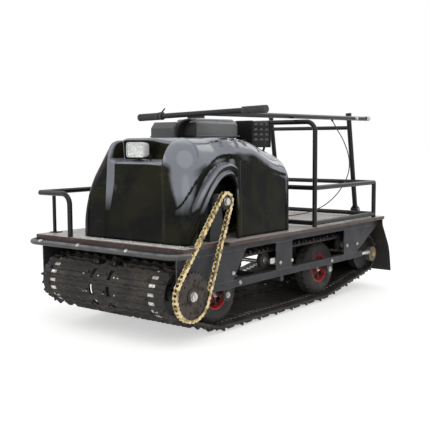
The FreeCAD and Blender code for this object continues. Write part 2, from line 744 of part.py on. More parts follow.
def hood_hollows(extra):
    """The lamp's recess and the panel set back between the two front pillars."""
    front = size("hood_front") - 50
    deep = size("hood_front") + size("ledge_depth") + extra
    low = size("ledge_height") - extra
    right = size("ledge_right") - extra
    left = size("ledge_left") + extra
    recess = prism([(right, front, 0), (right, deep, 24), (left, deep, 24), (left, front, 0)], "z", low,
                   size("hood_top") - low + 50)
    spread = size("panel_spread")
    foot = size("panel_foot") - extra
    back = size("hood_front") + size("panel_depth") + extra
    panel = prism([(right - spread, foot, 20), (left + spread, foot, 20), (left, low + 2, 0),
                   (right, low + 2, 0)], "y", front, back - front)
    return recess.fuse(panel)


def arch_face(extra):
    """The chain's arch in the left wall, or the same outline grown by an even margin."""
    foot = size("deck_top") - size("arch_reach")
    front = size("arch_front")
    rear = size("arch_rear")
    turn = size("arch_corner")
    face = outline_face([
        (front, foot, 0), (front + size("arch_step"), size("arch_step_height"), turn),
        (front + size("arch_knee"), size("arch_knee_height"), turn),
        (size("arch_shoulder_y"), size("arch_shoulder_height"), turn),
        (size("arch_crown_front"), size("arch_brow_height"), turn),
        (size("arch_crown_rear"), size("arch_crown_height"), turn),
        (rear - size("arch_nape"), size("arch_nape_height"), turn), (rear, size("arch_back_height"), turn),
        (rear, foot, 0)])
    if extra:
        face = face.makeOffset2D(extra)
    return face


def box_between(x_low, x_high, y_low, y_high, z_low, z_high):
    return Part.makeBox(x_high - x_low, y_high - y_low, z_high - z_low, V(x_low, y_low, z_low))


def make_hood():
    left = size("hood_left")
    wall = size("hood_wall")
    shell = hood_form(0).cut(hood_hollows(0)).cut(hood_form(wall).cut(hood_hollows(wall)))
    gap = size("opening_gap")
    top_opening = box_between(size("block_right") - gap, size("block_left") + gap, size("block_front") - gap,
                              size("block_rear") + gap, size("hood_top") - 170, size("hood_top") + 50)
    stand_out = size("flare_height")
    margin = size("flare_margin")
    flare = raised(arch_face(margin), "x", left - wall, wall + stand_out)
    groove = raised(arch_face(margin * 0.62), "x", left + 1, stand_out)
    ridge = raised(arch_face(margin * 0.38), "x", left, stand_out + 1)
    keep = box_between(left - wall, left + stand_out + 1, size("hood_front") + 4, size("flare_rear"),
                       size("deck_top") + size("flare_foot"), size("hood_top"))
    flare = flare.cut(groove.cut(ridge)).common(keep)
    arch = raised(arch_face(0), "x", left - 3 * wall, 3 * wall + stand_out + 2)
    slots = []
    inner = size("slot_inner_x")
    outer = size("slot_outer_x")
    turn = size("slot_radius")
    for y, reach in ((-486, 30), (-440, 26), (-398, 22)):
        slots.append(prism([(inner, y - reach / 2, turn), (outer, y - reach / 2, turn),
                            ((inner + outer) / 2, y + reach / 2, turn)], "z", size("hood_top") - 150, 200))
    node("hood", shape("hood_shell", shell.fuse(flare).cut([top_opening, arch] + slots)))

    x_low = size("lamp_x") - size("lamp_width") / 2
    x_high = size("lamp_x") + size("lamp_width") / 2
    low = size("lamp_low")
    high = low + size("lamp_height")
    edge = size("lamp_edge")
    lamp = prism([(x_low, low, edge), (x_high, low, edge), (x_high, high, edge), (x_low, high, edge)], "y",
                 size("lamp_front"), size("lamp_depth"))
    rim_wall = size("lamp_rim")
    lens = prism([(x_low + rim_wall, low + rim_wall, edge / 2), (x_high - rim_wall, low + rim_wall, edge / 2),
                  (x_high - rim_wall, high - rim_wall, edge / 2), (x_low + rim_wall, high - rim_wall, edge / 2)],
                 "y", size("lamp_front") - 1, 5)
    fins = [box_between(x_low - 1, x_high + 1, y, y + 4, low + 8, low + 12)
            for y in (size("lamp_front") + 20, size("lamp_front") + 30)]
    lamp = lamp.cut([lens] + fins)
    node("headlight", shape("lamp_housing", lamp))
    stand = box_between(size("lamp_x") - 22, size("lamp_x") + 22, size("lamp_front") + 8,
                        size("lamp_front") + 34, size("ledge_height"), size("lamp_low"))
    node("headlight_bracket", shape("lamp_stand", stand))


def make_engine():
    block = box("engine_body", "block_left - block_right", "block_rear - block_front",
                "tank_low - deck_top", "block_right", "block_front", "deck_top")
    node("engine_block", block)
    low = size("tank_low")
    high = size("tank_high")
    right = size("tank_right")
    left = size("tank_left")
    front = size("tank_front")
    rear = size("tank_rear")
    edge = size("tank_edge")
    upright = prism([(right, front, edge), (left, front, edge), (left, rear, edge), (right, rear, edge)], "z",
                    low, high - low)
    along = prism([(front, low, 0), (front, high - 14, 10), (front + 20, high, 12), (rear - 16, high, 14),
                   (rear, high - 24, 14), (rear, low, 0)], "x", right, left - right)
    tank = upright.common(along)
    sunk = size("tank_panel_depth")
    panel = prism([(right + 24, low + 12, 6), (left - 24, low + 12, 6), (left - 24, high - 22, 6),
                   (right + 24, high - 22, 6)], "y", front, sunk)
    sides = [prism([(front + 26, low + 12, 6), (rear - 26, low + 12, 6), (rear - 26, high - 26, 6),
                    (front + 26, high - 26, 6)], "x", x_low, sunk) for x_low in (right, left - sunk)]
    node("fuel_tank", shape("tank_body", tank.cut([panel] + sides)))
    x = (right + left) / 2 - 10
    y = front + 61
    radius = size("cap_radius")
    cap = Part.makeCylinder(radius, size("cap_height") - 3, V(x, y, high))
    crown = Part.makeCone(radius, radius - 5, 3, V(x, y, high + size("cap_height") - 3))
    notches = []
    for index in range(int(size("cap_notches"))):
        angle = 2 * math.pi * index / size("cap_notches")
        notches.append(Part.makeCylinder(size("cap_notch_radius"), size("cap_height"), V(
            x + (radius + 2) * math.cos(angle), y + (radius + 2) * math.sin(angle), high + 4)))
    node("fuel_cap", shape("cap_body", cap.fuse(crown).cut(notches)))

    front = size("cleaner_front")
    rear = size("tank_front") - 4
    high = size("cleaner_high")
    cleaner = prism([(front, low, 0), (front, high - 22, 10), (front + 14, high, 8), (rear, high, 6),
                     (rear, low, 0)], "x", size("cleaner_right"), size("cleaner_left") - size("cleaner_right"))
    ribs = [box_between(size("cleaner_right") + 12 + 22 * index, size("cleaner_right") + 20 + 22 * index,
                        front - 1, front + 3, low + 6, high - 24) for index in range(5)]
    node("air_cleaner", shape("cleaner_body", cleaner.cut(ribs)))

    right = size("muffler_right")
    left = size("muffler_left")
    front = size("muffler_front")
    rear = size("muffler_rear")
    low = size("muffler_low")
    high = size("muffler_high")
    guard = prism([(front, low, 6), (front, high, 14), (rear, high, 14), (rear, low, 6)], "x", right,
                  left - right)
    deep = size("louvre_depth")
    pitch = (high - low - 24) / size("louvres")
    slots = []
    for index in range(int(size("louvres"))):
        z = low + 14 + pitch * index
        for x_low in (left - deep, right - 1):
            slots.append(prism([(front + 14, z, 2), (rear - 14, z, 2), (rear - 14, z + 0.5 * pitch, 2),
                                (front + 14, z + 0.5 * pitch, 2)], "x", x_low, deep + 1))
    node("muffler_guard", shape("muffler_body", guard.cut(slots)))
    pipe = cylinder("exhaust_bar", "exhaust_radius", "muffler_front - block_rear", "y",
                    "(muffler_left + muffler_right) / 2", "block_rear", "muffler_low + exhaust_radius + 2")
    node("exhaust_pipe", pipe)


# --- tubes on the deck -------------------------------------------------------------------------

def bar_between(start, end, radius):
    along = end - start
    return Part.makeCylinder(radius, along.Length, start, along)


def make_tubes():
    tube = size("tube_radius")
    post = size("post_x")
    gap = size("seat_gap")
    deck = size("deck_top")
    hoop_y = size("hoop_y")
    hoop_top = size("pole_height") - size("pole_radius") - tube - size("pole_rest_gap")
    hoop = bent_bar([V(post, hoop_y, deck), V(post, hoop_y, hoop_top), V(-post, hoop_y, hoop_top),
                     V(-post, hoop_y, deck)], [size("hoop_bend")] * 2, tube)
    node("cargo_hoop", shape("hoop_tube", hoop))

    rear = size("basket_rear")
    bars = []
    for height in (size("top_rail_height"), size("low_rail_height")):
        for x in (post, -post):
            bars.append(bar_between(V(x, hoop_y, height), V(x, rear, height), tube))
        bars.append(bar_between(V(-post, rear, height), V(post, rear, height), tube))
    for x in (post, -post):
        bars.append(bar_between(V(x, rear, deck), V(x, rear, size("top_rail_height")), tube))
    clear = [bar_between(V(x, hoop_y, deck - 1), V(x, hoop_y, size("top_rail_height") + 40), tube + gap)
             for x in (post, -post)]
    cross = [bar_between(V(-post, hoop_y, height), V(post, hoop_y, height), tube)
             for height in (size("top_rail_height"), size("low_rail_height"))]
    node("basket_rails", shape("basket_welded", bars[0].fuse(bars[1:] + cross).cut(clear)))

    front = size("handrail_front")
    height = size("top_rail_height")
    inner = size("handrail_inner")
    rail = bar_between(V(-post, front, height), V(-post, hoop_y, height), tube).cut(clear + [cross[0]])
    nose = bent_bar([V(-post, front, height), V(inner, front, height), V(inner, front, deck)],
                    [size("handrail_bend")], tube)
    node("right_handrail", shape("handrail_welded", rail.fuse(nose)))
    thin = size("thin_post_radius")
    thin_post = bar_between(V(-post, size("thin_post_y"), deck),
                            V(-post, size("thin_post_y"), height - tube), thin)
    foot = Part.makeBox(size("foot_plate"), size("foot_plate"), size("foot_plate_thickness"),
                        V(-post - size("foot_plate") / 2 + 8, size("thin_post_y") - size("foot_plate") / 2, deck))
    node("handrail_post", shape("thin_post_welded", thin_post.fuse(foot)))

    outer = half_deck - size("bumper_inset")
    level = board_low - gap - tube
    bumper = bent_bar([V(-outer, size("bumper_end"), level), V(-outer, size("bumper_y"), level),
                       V(outer, size("bumper_y"), level), V(outer, size("bumper_end"), level)],
                      [size("bumper_bend")] * 2, tube)
    node("front_bumper", shape("bumper_tube", bumper))


# --- steering mast and pole ---------------------------------------------------------------------

def leaned(solid):
    """Turns what was built upright over the mast's foot to the mast's own lean."""
    solid.rotate(V(0, size("mast_foot_y"), size("mast_foot_height")), V(1, 0, 0), size("mast_lean"))
    return solid


def make_mast():
    foot_y = size("mast_foot_y")
    foot_z = size("mast_foot_height")
    radius = size("mast_tube_radius")
    eye = size("mast_eye_radius")
    eye_half = size("mast_eye_width") / 2
    pin = size("pin_radius")
    deck = size("deck_top")
    thick = size("bracket_thickness")
    pieces = []
    brackets = []
    for name, x in (("left", size("mast_x")), ("right", size("mast_far_x"))):
        leg = bar_between(V(x, foot_y, foot_z + eye + 6), V(x, foot_y, foot_z + size("mast_length")), radius)
        lug = box_between(x - eye_half, x + eye_half, foot_y - 10, foot_y + 10, foot_z, foot_z + eye + 8)
        knuckle = bar_x(eye - 3, x - eye_half, x + eye_half, foot_y, foot_z)
        hole = bar_x(pin + size("running_gap"), x - eye_half - 1, x + eye_half + 1, foot_y, foot_z)
        pieces.append(leg.fuse([lug, knuckle]).cut(hole))
        cheeks = []
        for sign in (1, -1):
            inner = x + sign * (eye_half + 1)
            outer = inner + sign * thick
            x_low = min(inner, outer)
            cheeks.append(plate([(foot_y - eye, deck, 0), (foot_y - eye, foot_z + eye, 14),
                                 (foot_y + eye, foot_z + eye, 14), (foot_y + eye, deck, 0)], x_low, thick))
        bolt = bar_x(pin, x - eye_half - thick - 9, x + eye_half + thick + 9, foot_y, foot_z)
        base = box_between(x - eye_half - thick - 1, x + eye_half + thick + 1, foot_y - eye, foot_y + eye,
                           deck, deck + 6)
        brackets.append(shape("mast_bracket_" + name, cheeks[0].fuse([cheeks[1], bolt, base])))
    height = foot_z + size("mast_bar_along")
    bar = bar_between(V(size("mast_far_x"), foot_y, height), V(size("mast_x"), foot_y, height),
                      size("mast_bar_radius"))
    hinge = pole_hinge()
    frame = leaned(pieces[0].fuse([pieces[1], bar]))
    bore = bar_x(pin, size("mast_x") - 40, size("mast_x") + 40, hinge.y, hinge.z)
    node("mast_frame", shape("mast_welded", frame.cut(bore)))
    node("mast_brackets", *brackets)
    caps = []
    for name, x in (("left", size("mast_x")), ("right", size("mast_far_x"))):
        start = V(x, foot_y, foot_z + size("mast_length"))
        caps.append(shape("mast_cap_" + name, leaned(bar_between(
            start, start + V(0, 0, size("cap_ball_height")), size("cap_ball_radius")))))
    node("mast_caps", *caps)
    head = size("mast_x") - radius - 7
    bolt = bar_x(pin, head, head + size("bolt_length"), hinge.y, hinge.z)
    nut = bar_x(10, head + size("bolt_length") - 8, head + size("bolt_length"), hinge.y, hinge.z)
    bolt_head = bar_x(10, head, head + 7, hinge.y, hinge.z)
    collar_low = size("mast_x") + radius
    collar = bar_x(9, collar_low, collar_low + size("pole_side_gap") - 1, hinge.y, hinge.z)
    node("pole_bolt", shape("pole_bolt_whole", bolt.fuse([nut, bolt_head, collar])))


def pole_hinge():
    """Where the mast's own line reaches the pole's height."""
    rise = size("pole_height") - size("mast_foot_height")
    return V(0, size("mast_foot_y") - rise * math.tan(math.radians(size("mast_lean"))), size("pole_height"))


def cable_points():
    """The free cable's route: down from the pole, over the basket floor, forward to the hood."""
    floor = size("deck_top") + size("cable_radius") + size("seat_gap")
    pole_x = size("mast_x") + size("mast_tube_radius") + size("pole_side_gap") + size("pole_radius")
    start = V(pole_x, size("cable_start_y"), size("pole_height") - size("pole_radius") - size("guide_drop"))
    gland = V(size("gland_x"), size("hood_rear") + size("gland_length"), size("gland_height"))
    return [
        start, start + V(3.5, 37, -40), V(305, 533, 798), V(309, 566, 753), V(309, 597, 705), V(303, 619, 652),
        V(288, 627, 598), V(268, 615, 547), V(243, 593, 501), V(212, 573, 464), V(171, 559, 434),
        V(125, 544, 412), V(79, 520, 397), V(38, 485, floor + 1.5), V(12, 438, floor), V(-4, 386, floor),
        V(-12, 331, floor), V(-14, 276, floor), V(-11, 221, floor), V(-4, 167, floor), V(4, 113, floor),
        V(10, 60, floor), V(13, 12, floor + 1), gland + V(0, 28, 0), gland]


def make_pole():
    z = size("pole_height")
    radius = size("pole_radius")
    x = size("mast_x") + size("mast_tube_radius") + size("pole_side_gap") + radius
    front = size("pole_front")
    hinge = pole_hinge()
    tube = bar_between(V(x, front, z), V(x, size("pole_rear"), z), radius)
    middle = V(x, front, z)

    def tilted(solid):
        solid.rotate(middle, V(0, -1, 0), size("bar_tilt"))
        return solid

    bar = tilted(bar_x(radius, size("bar_low_x") + 5, size("bar_high_x") - 5, front, z))
    bore = bar_x(size("pin_radius") + size("running_gap"), x - 2 * radius, x + 2 * radius, hinge.y, hinge.z)
    start, following = cable_points()[:2]
    back = (start - following).normalize()
    guide = bar_between(start, start + back * size("guide_length"), 2 * size("cable_radius"))
    node("steering_pole", shape("pole_welded", tube.fuse([bar, guide]).cut(bore)))
    grips = []
    length = size("grip_length")
    for name, low in (("right", size("bar_low_x")), ("left", size("bar_high_x") - length)):
        outer = tilted(bar_x(size("grip_radius"), low, low + length, front, z))
        grips.append(shape("grip_" + name, outer.cut(bar)))
    node("handlebar_grips", *grips)
    low = size("bar_low_x") + length + 8
    ring = tilted(bar_x(radius + 5, low, low + 14, front, z))
    thumb = tilted(box_between(low + 4, low + 10, front - 8, front + 8, z + radius, z + radius + 22))
    node("throttle_lever", shape("throttle_lever_whole", ring.fuse(thumb).cut(bar)))


# --- mud flap ------------------------------------------------------------------------------------

def make_flap():
    thick = size("flap_thickness")
    top = board_low
    start = size("flap_top_y") - 4
    path = bent_path([V(0, start + thick / 2, top), V(0, start + thick / 2, frame_low),
                      V(0, start + 86, size("idler_height") + 20), V(0, start + 106, size("flap_low"))],
                     [60, 260])
    section = Part.makePolygon([V(-0.5, start, top), V(0.5, start, top), V(0.5, start + thick, top),
                                V(-0.5, start + thick, top), V(-0.5, start, top)])
    sheet_edge = path.makePipeShell([section], True, False)
    half = size("flap_width") / 2
    wide = FreeCAD.Matrix()
    wide.A11 = 2 * half
    solid = sheet_edge.transformGeometry(wide)
    slot = box_between(-size("hitch_width") / 2 - 5, size("hitch_width") / 2 + 5, start - 5, start + 80,
                       size("hitch_height") - 8, top + 5)
    node("mud_flap", shape("flap_sheet", solid.cut(slot)))


# --- control cable --------------------------------------------------------------------------------

def make_cable():
    radius = size("cable_radius")
    points = cable_points()
    radii = []
    for before, here, after in zip(points, points[1:], points[2:]):
        turn = (here - before).getAngle(after - here)
        shorter = min((here - before).Length, (after - here).Length)
        radii.append(0.45 * shorter / math.tan(turn / 2))
    path = bent_path(points, radii)
    solid = bent_bar(points, radii, radius)
    section = math.pi * radius * radius
    print("cable: length %.0f, volume %.4f of section times length, radii %s" % (
        path.Length, solid.Volume / (section * path.Length), " ".join("%.0f" % item for item in radii)))
    node("control_cable", shape("cable_tube", solid))
    socket = cylinder("gland_body", "gland_radius", "gland_length", "y", "gland_x", "hood_rear", "gland_height")
    node("cable_gland", socket)


make_deck()
make_sides()
make_track()
make_wheels()
make_rollers()
make_drive()
make_hood()
make_engine()
make_tubes()
make_mast()
make_pole()
make_flap()
make_cable()
doc.recompute()
failed = [item.Name for item in doc.Objects if "Invalid" in item.State or "Error" in item.State]
failed += [item.Label for item in NODES if item.Shape.isNull() or not item.Shape.isValid()]
if failed:
    raise RuntimeError("these did not build: " + ", ".join(failed))
os.makedirs("parts", exist_ok=True)
for item in NODES:
    item.Shape.exportStep("parts/%s.step" % item.Label)
print("wrote", len(NODES))
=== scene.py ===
"""Looks of a tracked snow towing vehicle: its pieces, their finishes and the studio."""

import json
import math

import bmesh
import bpy
import numpy as np
from mathutils import Matrix, Vector


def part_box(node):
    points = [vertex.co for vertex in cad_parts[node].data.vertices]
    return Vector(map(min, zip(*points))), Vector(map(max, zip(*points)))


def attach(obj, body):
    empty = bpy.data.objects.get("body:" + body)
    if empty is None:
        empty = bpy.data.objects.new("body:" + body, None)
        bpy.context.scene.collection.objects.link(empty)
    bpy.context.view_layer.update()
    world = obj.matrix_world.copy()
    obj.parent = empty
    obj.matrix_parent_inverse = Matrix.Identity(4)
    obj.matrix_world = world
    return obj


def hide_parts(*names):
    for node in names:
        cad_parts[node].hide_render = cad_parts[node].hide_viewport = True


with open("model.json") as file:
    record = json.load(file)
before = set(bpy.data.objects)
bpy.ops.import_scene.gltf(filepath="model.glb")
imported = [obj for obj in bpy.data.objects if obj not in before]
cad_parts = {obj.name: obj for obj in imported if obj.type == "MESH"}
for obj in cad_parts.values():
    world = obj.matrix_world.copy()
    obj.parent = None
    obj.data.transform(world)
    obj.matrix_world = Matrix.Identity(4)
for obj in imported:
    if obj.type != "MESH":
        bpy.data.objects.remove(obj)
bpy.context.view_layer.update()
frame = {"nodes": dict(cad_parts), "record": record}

bl_info = {
    "name": "Tracked snow towing vehicle",
    "version": (1, 0, 0),
    "blender": (4, 5, 0),
    "location": "View3D > Sidebar > Snow tug",
    "description": "Makes the pieces, finishes and studio of a tracked snow towing vehicle",
    "category": "Add Mesh",
}

MM = 0.001
FULL_TURN = 2 * math.pi


def vehicle_origin():
    """Where the machine's own origin, on its centre line at the floor, lies in the row frame."""
    flap_low, flap_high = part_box("mud_flap")
    board_front = 820 * MM
    return Vector(((flap_low.x + flap_high.x) / 2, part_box("deck_board")[0].y + board_front, 0))


ORIGIN = vehicle_origin()


# --- finishes ---

class Nodes:
    """A node tree in the making."""

    def __init__(self, tree):
        self.tree = tree

    def add(self, kind, sockets=None, **options):
        """A node with its options set and its sockets linked or filled."""
        node = self.tree.nodes.new("ShaderNode" + kind)
        for key, value in options.items():
            setattr(node, key, value)
        for key, value in (sockets or {}).items():
            self.fill(node, key, value)
        return node

    def fill(self, node, key, value):
        if isinstance(value, bpy.types.NodeSocket):
            self.tree.links.new(value, node.inputs[key])
        else:
            node.inputs[key].default_value = value

    def math(self, operation, *values):
        return self.add("Math", dict(enumerate(values)), operation=operation).outputs[0]

    def times(self, first, second):
        return self.math("MULTIPLY", first, second)

    def between(self, value, low, high, to_low=0.0, to_high=1.0):
        return self.add("MapRange", {"Value": value, "From Min": low, "From Max": high,
                                     "To Min": to_low, "To Max": to_high}).outputs[0]

    def part(self, vector, axis="Z"):
        return self.add("SeparateXYZ", {0: vector}).outputs[axis]

    def normal(self, kind="Normal"):
        return self.add("NewGeometry").outputs[kind]

    def alike(self, normal, direction):
        """How far two directions agree."""
        return self.add("VectorMath", {0: normal, 1: direction}, operation="DOT_PRODUCT").outputs["Value"]


class Finish(Nodes):
    """A material in the making: a shade that layers cover, and textures that lie on the object."""

    def __init__(self, name, **shader_values):
        self.item = bpy.data.materials.new(name)
        self.item.use_nodes = True
        super().__init__(self.item.node_tree)
        self.shader = self.tree.nodes["Principled BSDF"]
        for key, value in shader_values.items():
            self.fill(self.shader, key.replace("_", " ").title().replace("Ior", "IOR"), value)
        self.where = self.add("TexCoord").outputs["Object"]

    def noise(self, scale, detail, stretch=None, distortion=0.0):
        """Cloudy values from 0 to 1 at that many cells a metre."""
        where = self.where
        if stretch:
            where = self.add("Mapping", {"Vector": where, "Scale": stretch}).outputs[0]
        return self.add("TexNoise", {"Vector": where, "Scale": scale, "Detail": detail,
                                     "Distortion": distortion}).outputs["Fac"]

    def patches(self, scale, detail, low, high, to_low=0.0, to_high=1.0, **options):
        """Noise drawn out between two of its values."""
        return self.between(self.noise(scale, detail, **options), low, high, to_low, to_high)

    def blended(self, share, first, second):
        """One colour over another by a share."""
        node = self.add("Mix", {0: share}, data_type="RGBA")
        for key, value in ((6, first), (7, second)):
            self.fill(node, key, value if isinstance(value, bpy.types.NodeSocket) else (*value, 1.0))
        return node.outputs[2]

    def cover(self, colour, share, *factors):
        """Lays a colour over the shade, by a share times its factors."""
        for factor in factors:
            share = self.times(share, factor)
        self.shade = self.blended(share, self.shade, colour)

    def edges(self, reach=0.0012):
        """How much a place is an edge: where a rounded normal leaves the surface's own."""
        soft = self.add("Bevel", {"Radius": reach}, samples=3).outputs[0]
        return self.between(self.alike(soft, self.normal("True Normal")), 0.99, 0.85)

    def facing_up(self):
        return self.between(self.part(self.normal()), 0.2, 0.9)

    def hairlines(self, scale, stretch, width=0.012):
        """Thin scratches along one direction."""
        off = self.math("SUBTRACT", self.noise(scale, 2.0, stretch, 0.6), 0.5)
        return self.between(self.math("ABSOLUTE", off), 0.0, width, 1.0, 0.0)

    def done(self, gloss, height, strength, distance=0.001):
        """The material, with its shade, its roughness and its bumps on the shader."""
        self.fill(self.shader, "Base Color", self.shade)
        self.fill(self.shader, "Roughness", gloss)
        bumps = self.add("Bump", {"Height": height, "Strength": strength, "Distance": distance})
        self.fill(self.shader, "Normal", bumps.outputs[0])
        return self.item


def scaled(colour, factor):
    return tuple(factor * part for part in colour)


DUST = (0.30, 0.27, 0.24)


def painted(name, colour, second, scale, rough, bump, bump_scale, dust_and_highlight=0.0, edge_wear_and_highlight=0.0, dust_and_highlight_colour=DUST,
            edge_wear_and_highlight_colour=(0.35, 0.34, 0.33), scratches=0.0, edge_reach=0.0012, **shader_values):
    """A finish with cloudy colour, uneven gloss, fine bump, dust on its upper faces, and worn edges; on some
    finishes the pale tops and edges are painted highlights.
    """
    look = Finish(name, **shader_values)
    look.shade = look.blended(look.patches(scale, 6.0, 0.35, 0.65), colour, second)
    # pale upper faces: dust, and on the louvres a painted highlight
    if dust_and_highlight:
        look.cover(dust_and_highlight_colour, look.facing_up(), look.patches(14.0, 8.0, 0.35, 0.7), dust_and_highlight)
    # pale edges: worn paint, and a painted edge highlight
    if edge_wear_and_highlight:
        look.cover(edge_wear_and_highlight_colour, look.edges(edge_reach), look.patches(60.0, 5.0, 0.4, 0.6), edge_wear_and_highlight)
    if scratches:
        look.cover(edge_wear_and_highlight_colour, look.hairlines(22.0, (1.0, 6.0, 9.0)), look.patches(9.0, 4.0, 0.5, 0.62),
                   scratches)
    gloss = look.patches(scale * 2.3, 5.0, 0.3, 0.7, *rough)
    return look.done(gloss, look.noise(bump_scale, 3.0), bump)


def gloss_shell_painted_sky(name, colour):
    """Black moulded shell: deep gloss with painted reflections: pale sky on what looks up and on the
    front-left shoulder, dust and painted sky on flat tops, olive clouds elsewhere.
    """
    look = Finish(name, coat_roughness=0.06)
    # a wobble for the edges of the painted reflections
    reflection_wobble = look.math("SUBTRACT", look.noise(6.0, 3.0, None, 0.8), 0.5)
    normal = look.normal()
    upward = look.part(normal)

    def rippled(value, share):
        return look.math("ADD", value, look.times(reflection_wobble, share))

    # painted sky reflection where the surface faces a fixed sky direction or the front-left shoulder, above
    # half a metre; flat tops get dust and painted sky
    sky_reflection_facing = look.alike(normal, (0.36, -0.28, 0.89))
    up = look.between(rippled(sky_reflection_facing, 0.3), 0.41, 0.56)
    flat = look.between(rippled(upward, 0.3), 0.80, 0.99)
    # painted dark reflection: broad olive-tinted clouds over the black
    cloud = look.patches(5.0, 4.0, 0.4, 0.62, distortion=1.2)
    look.shade = look.blended(cloud, colour, (0.018, 0.017, 0.008))
    height = look.part(look.where)
    corner = look.alike(normal, (0.60, -0.74, 0.30))
    shoulder = look.between(rippled(corner, 0.1), 0.86, 0.93)
    up = look.times(look.math("MAXIMUM", up, shoulder), look.between(height, 0.50, 0.58))
    # lay the painted sky reflection in blue-grey, then dust and painted sky in pale grey on flat tops
    look.cover((0.20, 0.215, 0.25), up, 0.9)
    look.cover((0.42, 0.44, 0.47), flat, 0.8)
    specks = look.patches(420.0, 2.0, 0.66, 0.74)
    patch = look.patches(6.0, 3.0, 0.50, 0.66)
    look.cover((0.36, 0.33, 0.30), specks, patch, 0.7)
    lines = look.times(look.hairlines(16.0, (1.0, 1.0, 7.0), 0.006), patch)
    look.cover((0.30, 0.30, 0.30), lines, 0.3)
    # the gloss and the coat are stronger where the sky reflection is painted
    look.fill(look.shader, "Specular IOR Level", look.between(up, 0.0, 1.0, 0.06, 0.6))
    look.fill(look.shader, "Coat Weight", look.between(up, 0.0, 1.0, 0.03, 0.5))
    gloss = look.math("ADD", look.patches(11.0, 7.0, 0.35, 0.7, 0.07, 0.17), look.times(lines, 0.2))
    return look.done(gloss, look.noise(5.0, 2.0), 0.25, 0.004)


def rubber(name, colour, dusty, mud, grain=900.0):
    """Dull rubber with dried dirt in its hollows and a rubbed bloom on its edges."""
    look = Finish(name, specular_ior_level=0.35)
    cloud = look.patches(26.0, 7.0, 0.35, 0.68)
    look.shade = look.blended(cloud, colour, dusty)
    look.cover((0.16, 0.13, 0.10), look.patches(9.0, 9.0, 0.5, 0.66), look.patches(120.0, 4.0, 0.35, 0.6),
               mud)
    look.cover((0.15, 0.145, 0.14), look.edges(), 0.35)
    gloss = look.between(cloud, 0.0, 1.0, 0.5, 0.85)
    return look.done(gloss, look.math("ADD", look.noise(grain, 2.0), look.noise(90.0, 6.0)), 0.5)


def metal(name, colour, grime, rough, grime_share=0.5, grime_scale=60.0):
    """Bare or plated steel with oily grime in patches."""
    look = Finish(name, metallic=1.0)
    dirty = look.times(look.patches(grime_scale, 7.0, 0.46, 0.62), grime_share)
    look.shade = look.blended(dirty, colour, grime)
    gloss = look.patches(grime_scale * 2, 5.0, 0.3, 0.7, *rough)
    gloss = look.math("ADD", gloss, look.times(dirty, 0.3))
    return look.done(gloss, look.noise(700.0, 4.0), 0.12)


def faced_board(name, edge_colour, face_colour):
    """Film-faced plywood: wire-mesh print on its faces, brown plies along its edges."""
    look = Finish(name, specular_ior_level=0.5)
    look.where = look.normal("Position")
    place = look.add("SeparateXYZ", {0: look.where})
    lines = []
    for axis in ("X", "Y"):
        run = look.math("PINGPONG", place.outputs[axis], 0.006)
        lines.append(look.between(run, 0.0012, 0.0026, 1.0, 0.0))
    mesh_print = look.math("MAXIMUM", *lines)
    cloud = look.patches(12.0, 8.0, 0.35, 0.7)
    # the film's pale grey face is its own colour together with a painted sky reflection
    look.shade = look.blended(cloud, face_colour, scaled(face_colour, 0.86))
    look.cover((0.20, 0.17, 0.15), mesh_print, 0.25)
    look.cover((0.66, 0.64, 0.61), look.patches(5.0, 9.0, 0.5, 0.7, stretch=(1.0, 0.5, 1.0)), 0.5)
    face = look.shade
    plies = look.noise(3.0, 3.0, (1.0, 1.0, 220.0))
    look.shade = look.blended(look.between(plies, 0.4, 0.6), edge_colour, scaled(edge_colour, 0.45))
    look.cover((0.34, 0.24, 0.17), look.patches(35.0, 6.0, 0.60, 0.68, stretch=(1.0, 1.0, 4.0)), 0.45)
    flat = look.math("ABSOLUTE", look.part(look.normal()))
    look.cover(face, look.between(flat, 0.4, 0.6))
    gloss = look.between(cloud, 0.0, 1.0, 0.32, 0.55)
    return look.done(gloss, look.math("ADD", look.times(mesh_print, flat), look.times(plies, 0.4)), 0.5)


def grained(name, colour, cell, strength, rough=(0.45, 0.65), pale=0.25):
    """Grained moulded plastic, with pale dust caught in the grain."""
    look = Finish(name, specular_ior_level=0.45)
    cells = look.add("TexVoronoi", {"Vector": look.where, "Scale": cell}).outputs["Distance"]
    cloud = look.patches(22.0, 6.0, 0.35, 0.7)
    look.shade = look.blended(cloud, colour, scaled(colour, 1.5))
    look.cover((0.42, 0.40, 0.38), look.between(cells, 0.3, 0.7), look.facing_up(), pale)
    look.cover((0.3, 0.3, 0.3), look.edges(), 0.2)
    return look.done(look.between(cloud, 0.0, 1.0, *rough), cells, strength, 0.0006)


def fluted_lens(name):
    """Lamp glass with moulded flutes."""
    look = Finish(name, transmission_weight=0.92, ior=1.45)
    look.shade = (0.96, 0.97, 0.97, 1.0)
    haze = look.patches(60.0, 5.0, 0.4, 0.7, 0.03, 0.14)
    flutes = look.math("PINGPONG", look.part(look.where, "X"), 0.006)
    return look.done(haze, look.between(flutes, 0.0, 0.006), 0.35)


FINISH = {}
OWN_FINISH = {"front_bumper": "bumper_paint", "deck_trim_strip": "trim_pale"}


